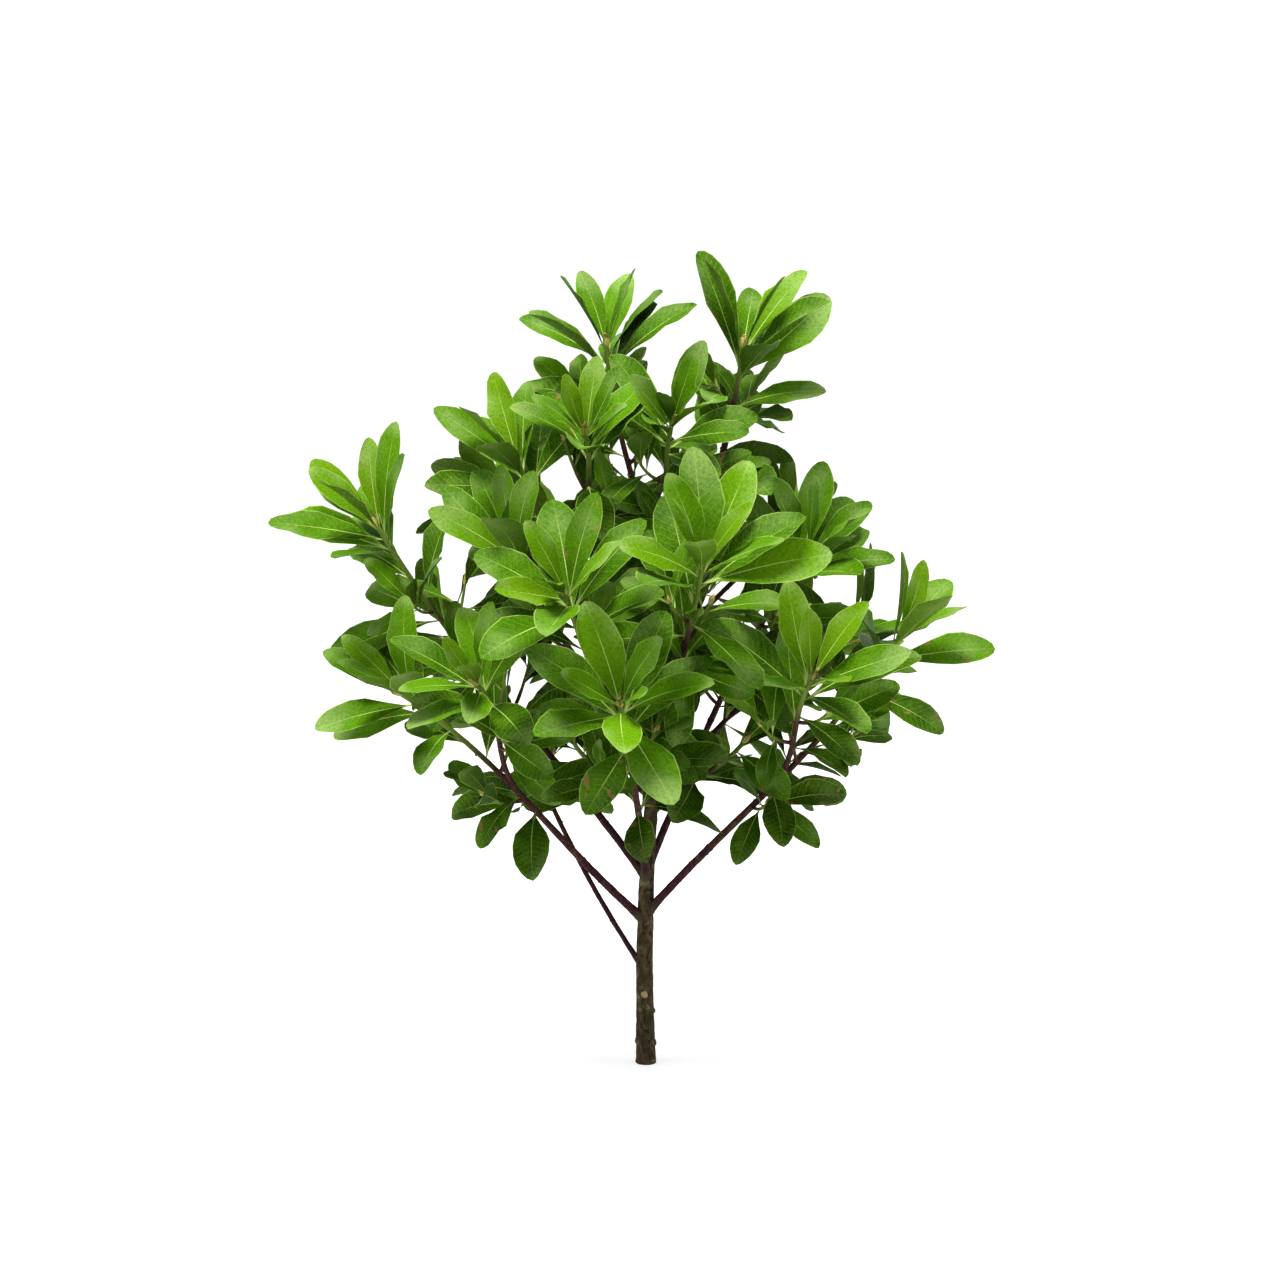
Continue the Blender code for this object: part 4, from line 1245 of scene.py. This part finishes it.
def blade_material(name, roughness, gloss, tones, rib, vein, contrast):
    """A blade's side. Each tile of its map is a leaf of its own tone, with midrib, veins and pale rim, a
    painted shade towards its base and a painted sheen towards its tip.
    """
    material, tree, shader = new_material(name, roughness, gloss)
    spot = tree.add("ShaderNodeUVMap", {"uv_map": "OFBake"})
    parts = tree.add("ShaderNodeSeparateXYZ", {}, {"Vector": spot})
    column = parts["X"] * TILE_COLUMNS
    tone = tree.calculate("FLOOR", column) / (TILE_COLUMNS - 1)
    from_rib = abs(tree.calculate("FRACT", column) * 2 - 1)
    along, edge = tree.carried("along"), abs(tree.carried("across"))
    leaf_sized = {"Vector": spot, "Scale": (TILE_COLUMNS * 0.4, TILE_ROWS, 1)}
    stretched = tree.add("ShaderNodeMapping", {}, leaf_sized)
    clouds = tree.noise(stretched, 5.0, 3.0)
    # Soft patches where the painted sheen falls
    sheen_patches = tree.noise(stretched, 2.3, 1.0)
    grain = tree.noise(stretched, 60.0, 2.0)
    mottle = tree.noise(stretched, 34.0, 3.0, 0.7)
    crossed = {"Vector": stretched, "Scale": NET_SCALE}
    cells = tree.add("ShaderNodeTexVoronoi", {"feature": "DISTANCE_TO_EDGE"}, crossed)
    net = tree.band(cells, 0.02, 0.16, 1.0, 0.0)
    slant = along - from_rib * VEIN_SLANT - from_rib * from_rib * 0.04 + (clouds - 0.5) * 0.05
    teeth = abs(tree.calculate("FRACT", slant * VEIN_PAIRS) - 0.5)
    ribs = tree.band(teeth, 0.0, 0.10, 1.0, 0.0) * tree.band(from_rib, 0.75, 0.95, 1.0, 0.0)
    midrib = tree.band(from_rib, 0.008, 0.034, 1.0, 0.0) * tree.band(along, 0.35, 0.9, 1.0, 0.12)

    colour = tree.add("ShaderNodeValToRGB", {"stops": tones}, {"Fac": tone})
    brighter = tree.mix(0.22, colour, vein)
    colour = tree.mix(tree.band(clouds, 0.35, 0.68, 0.0, contrast), colour, brighter)
    colour = tree.mix(net * 0.16 * contrast, colour, vein)
    colour = tree.mix(ribs * 0.45 * contrast, colour, vein)
    # Painted shade: each blade darkens towards its base, where the rosette shades it.
    colour = tree.mix(tree.band(along, 0.15, 0.65, 0.30, 0.0) * contrast, colour, srgb(34, 66, 4))
    # Painted sheen: a pale whitish patch towards the tip stands in for the sky's reflection on the waxy upper
    # side.
    painted_sheen = tree.band(along, 0.40, 1.0) * tree.band(sheen_patches, 0.40, 0.68) * (0.50 - tone * 0.34) * contrast
    colour = tree.mix(painted_sheen, colour, srgb(160, 178, 116))
    colour = tree.mix(tree.band(mottle, 0.40, 0.72, 0.0, 0.42), colour, srgb(30, 58, 4))
    colour = tree.mix(tree.band(grain, 0.54, 0.72, 0.0, 0.30), colour, srgb(118, 158, 36))
    colour = tree.mix(tree.band(edge, 0.93, 0.99, 0.0, 0.6), colour, srgb(150, 180, 86))
    stalk = tree.band(along, 0.06, 0.20, 0.7, 0.0)
    colour = tree.mix(tree.calculate("MAXIMUM", midrib * 0.9, stalk), colour, rib)
    row = tree.calculate("FLOORED_MODULO", tree.calculate("FLOOR", parts["Y"] * TILE_ROWS), TILE_ROWS / 2)
    blemish = tree.noise(stretched, 8.0, 1.0)
    spots = tree.band(blemish, 0.66, 0.69) * tree.calculate("GREATER_THAN", row, 1.5)
    colour = tree.mix(spots * 0.85, colour, srgb(126, 98, 60))
    height = midrib * -0.5 + ribs * -0.25 + net * -0.15 + mottle * 0.5 + grain * 0.12
    bump = tree.add("ShaderNodeBump", {}, {"Height": height, "Strength": 0.7, "Distance": LEAF_BUMP})
    worn = tree.band(clouds, 0.3, 0.7, roughness - 0.08, roughness + 0.10)
    tree.feed(shader, {"Base Color": colour, "Normal": bump, "Roughness": worn})
    return material


crown = wooded_crown()
leaves = {limb.name: grown_leaves(crown, limb, curves[limb.name]) for limb in LIMBS}
leaf_upper = blade_material(
    "leaf upper side", 0.42, 0.02,
    ((0.0, srgb(88, 127, 4)), (0.3, srgb(68, 114, 1)), (0.6, srgb(45, 87, 0)), (1.0, srgb(17, 42, 0))),
    srgb(174, 196, 106), srgb(106, 150, 26), 1.0,
)
leaf_under = blade_material(
    "leaf under side", 0.62, 0.03,
    ((0.0, srgb(78, 112, 20)), (1.0, srgb(38, 66, 9))),
    srgb(132, 158, 66), srgb(112, 140, 48), 0.6,
)
blades = blade_tree()
Storey = namedtuple("Storey", "name lowest")
STOREYS = (Storey("lower", 0.0), Storey("middle", 0.56), Storey("upper", 0.70))


def storey_of(limb):
    return [s.name for s in STOREYS if s.lowest <= limb.shoots[0].height][-1]


def leaf_values(found, seed):
    """What each leaf's point carries: its own frame and sizes, how it is bent, and its tile of the map."""
    chance = random.Random(seed)
    rows = []
    for leaf in found:
        # Painted shade: a leaf deep inside the crown or low down gets a darker tone, for the shade that falls
        # there.
        inner = 1 - min(1, Vector((leaf.root.x, leaf.root.y)).length / (0.7 * CROWN_REACH))
        low = 1 - min(1, leaf.root.z / (0.6 * SHRUB_HEIGHT))
        tone = TONE_START + TONE_OLD * leaf.age + TONE_INNER_SHADE * inner + TONE_LOW_SHADE * low
        tone += chance.uniform(-TONE_PLAY, TONE_PLAY)
        rows.append({
            "root": leaf.root, "way": leaf.way, "up": leaf.up,
            "length": leaf.length, "width": leaf.width * BLADE_WIDTH, "arch": leaf.arch,
            "cup": chance.uniform(0.10, 0.42), "wave": chance.uniform(0.0005, 0.0024),
            "sway": chance.uniform(-0.035, 0.035), "twist": chance.uniform(-0.4, 0.4),
            "phase": chance.uniform(0, 6.28),
            "column": float(max(0, min(TILE_COLUMNS - 1, round(tone * (TILE_COLUMNS - 1))))),
            "row": 2.0 if chance.random() < BLEMISHED else float(chance.randrange(2)),
        })
    return {key: [row[key] for row in rows] for key in rows[0]}


def leaf_piece(name, found):
    values = leaf_values(found, name)
    piece = grown(name, blades, values["root"], [], values, {
        "Rows": BLADE_ROWS, "Columns": BLADE_COLUMNS, "Thickness": BLADE_THICKNESS,
        "Stalk Thickness": STALK_THICKNESS, "Stalk Half Width": STALK_HALF_WIDTH * 0.8,
        "Upper": leaf_upper, "Under": leaf_under,
    })
    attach(piece, "root")
    return piece


for storey in STOREYS:
    members = [limb.name for limb in LIMBS if storey_of(limb) == storey.name]
    piece = leaf_piece("leaves_" + storey.name, [leaf for name in members for leaf in leaves[name]])
    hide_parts(*("foliage_" + name for name in members))


# The inner spurs: short shoots inside the crown, from the trunk and the stems, that turn up to the light.
# Each bears a few smaller leaves, darker for their age and for the painted shade deep in the crown, and is
# left out where it would touch what already grows there.

SPUR_STEP = 0.028
SPUR_SHORTEST = 0.018
SPUR_LONGEST = 0.046
SPUR_RADIUS = 0.0015
SPUR_LEAVES = 6
SPUR_LEAF_SMALLEST = 0.55
SPUR_LEAF_LARGEST = 0.90
SPUR_STATIONS = (0, 0.25, 0.5, 0.75, 1)
TRUNK_SPURS = (0.20, 0.485)
STEM_SPURS = (0.42, 0.86)
INNER_MIDDLE = 0.425
INNER_HALF_HEIGHT = 0.255
INNER_RADIUS = 0.245
# How far a spur's youngest and its lowest leaf open, in degrees
SPUR_OPENING = (22, 64)
FEWEST_SPUR_LEAVES = 3


def inside_crown(point):
    """Whether a point lies well within the crown's dome."""
    level = (point.z - INNER_MIDDLE) / INNER_HALF_HEIGHT
    return (point.x**2 + point.y**2) / INNER_RADIUS**2 + level**2 < 1


def spur_curve(foot, way, out, length):
    """The line of a shoot that leaves its carrier at a slant and turns up."""
    leaving = (way * 0.5 + out).normalized()
    end = foot + leaving * length * 0.8 + UP * length * 0.35
    arriving = end - (leaving + UP * 1.2).normalized() * length * 0.35
    return Curve(foot, foot + leaving * length * 0.35, arriving, end)


def spur_places(curve, chance):
    """The places of a spur's leaves, from its lowest to its youngest."""
    first = chance.uniform(0, 360)
    for i in range(SPUR_LEAVES):
        age = 1 - i / (SPUR_LEAVES - 1)
        angle = mixed(*(math.radians(a) for a in SPUR_OPENING), age) + played(chance, ANGLE_PLAY)
        size = chance.uniform(SPUR_LEAF_SMALLEST, SPUR_LEAF_LARGEST) * mixed(0.75, 1.0, age)
        spin, share = math.radians(first) + SPIRAL_TURN * i, mixed(0.97, 0.5, age)
        yield leaf_place(curve, SPUR_STATIONS, share, angle, spin, size, 0.6 + 0.4 * age, chance)


def stems_of(limb):
    """The lines of a limb and of its side twigs, each of which ends in a shoot."""
    return [curves[limb.name], *sides[limb.name]]


def spur_feet():
    """Each place that could bear a spur: its point, and its carrier's direction and radius there."""
    low, high = TRUNK_SPURS
    for i in range(int((high - low) / SPUR_STEP)):
        height = low + SPUR_STEP * i
        yield trunk_centre(height), trunk_way(height), trunk_radius(height)
    for limb in LIMBS:
        for curve in stems_of(limb):
            count = int(length_of(curve) * (STEM_SPURS[1] - STEM_SPURS[0]) / SPUR_STEP)
            for i in range(count):
                share = mixed(*STEM_SPURS, i / count)
                yield point_on(curve, share), way_on(curve, share), TWIG_RADIUS


def spur_leaves(crown, name, curve, chance):
    """A spur's leaves that have room, or none where the spur itself has no room."""
    radii = [SPUR_RADIUS] * len(SPUR_STATIONS)
    wood_shape = tree_of(curve_tube(curve, [mixed(0.3, 1, s) for s in SPUR_STATIONS], radii, 3))
    others = crown.limbs + list(crown.twigs.values()) + [blade[3] for blade in crown.leaves]
    if any(wood_shape.overlap(other) for other in others):
        return []
    room = Crown()
    room.limbs, room.twigs, room.leaves = crown.limbs, dict(crown.twigs), list(crown.leaves)
    kept = room.take(spur_places(curve, chance), name, lambda leaf: inside_crown(leaf_section(leaf, 1)[0]))
    if len(kept) < FEWEST_SPUR_LEAVES:
        return []
    crown.leaves = room.leaves
    crown.twigs[name + ":wood"] = wood_shape
    return kept


spur_lines = Lines()
inner_leaves = []
spur_tips = []
chance = random.Random("spurs")
for i, (foot, way, thickness) in enumerate(spur_feet()):
    out = turned_out(way, SPIRAL_TURN * i + chance.uniform(-0.4, 0.4))
    curve = spur_curve(foot, way, out, thickness + chance.uniform(SPUR_SHORTEST, SPUR_LONGEST))
    found = spur_leaves(crown, f"spur {i}", curve, chance)
    if found:
        inner_leaves += found
        spur_tips.append((curve.end, way_on(curve, 1)))
        add_line(spur_lines, curve, 0, 1, lambda s: SPUR_RADIUS * (1.15 - 0.35 * s), lambda s: s, 16)
wood_piece("spur_bark", spur_lines, twig_bark, TWIG_SIDES, TWIG_STEP, TWIG_RELIEF, BOUGH_GRAIN)
leaf_piece("leaves_inner", inner_leaves)


# The end buds: at every shoot's tip the next growth waits in a small cone of overlapping scales, yellow-green
# with brown papery edges.

BUD_SCALES = 6
SCALE_LENGTH = 0.012
SCALE_WIDTH_SHARE = 0.42
# How far a bud's outermost and its inmost scale open, in degrees
SCALE_OPENING = (34, 7)
SCALE_ARCH = math.radians(40)
SPUR_BUD_SIZE = 0.7

bud_scale, tree, shader = new_material("bud scale", 0.6, 0.3)
scale_along, scale_edge = tree.carried("along"), abs(tree.carried("across"))
papery = tree.noise(tree.add("ShaderNodeTexCoord")["Object"], 900.0, 2.0)
brown_edge = tree.band(scale_edge + scale_along + papery * 0.6, 1.0, 1.9)
scale_colour = tree.mix(brown_edge, srgb(158, 166, 74), srgb(138, 102, 58))
tree.feed(shader, {
    "Base Color": tree.mix(tree.band(papery, 0.45, 0.7), scale_colour, srgb(186, 174, 100)),
    "Normal": tree.add("ShaderNodeBump", {}, {"Height": papery, "Strength": 0.4, "Distance": 0.0004}),
})


def bud_scales(tip, axis, size, chance):
    """The scales of one bud, the outer ones lower and more open."""
    for i in range(BUD_SCALES):
        share = i / (BUD_SCALES - 1)
        out = turned_out(axis, SPIRAL_TURN * i + chance.uniform(-0.2, 0.2))
        angle = math.radians(mixed(*SCALE_OPENING, share) + chance.uniform(-5, 5))
        way = axis * math.cos(angle) + out * math.sin(angle)
        up = axis * math.sin(angle) - out * math.cos(angle)
        length = SCALE_LENGTH * size * mixed(0.7, 1.1, share) * chance.uniform(0.85, 1.15)
        root = tip + out * TWIG_TIP_RADIUS * 0.5 - axis * 0.001
        yield Leaf(root, way, -up, length, length * SCALE_WIDTH_SHARE, SCALE_ARCH, share)


chance = random.Random("buds")
scales = []
for limb in LIMBS:
    for curve in stems_of(limb):
        scales += bud_scales(curve.end, way_on(curve, 1), 1.0, chance)
for tip, axis in spur_tips:
    scales += bud_scales(tip, axis, SPUR_BUD_SIZE, chance)
values = leaf_values(scales, "scales")
buds = grown("end_buds", blades, values["root"], [], values | {"wave": [0.0] * len(scales)}, {
    "Rows": 6, "Columns": 2, "Thickness": BLADE_THICKNESS, "Stalk Thickness": BLADE_THICKNESS,
    "Stalk Half Width": 0.0008, "Upper": bud_scale, "Under": bud_scale,
})
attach(buds, "root")


dressed_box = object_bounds()
boxes = {"solids": solids_box, "dressed": dressed_box}
plain = {name: [list(corner) for corner in box] for name, box in boxes.items()}
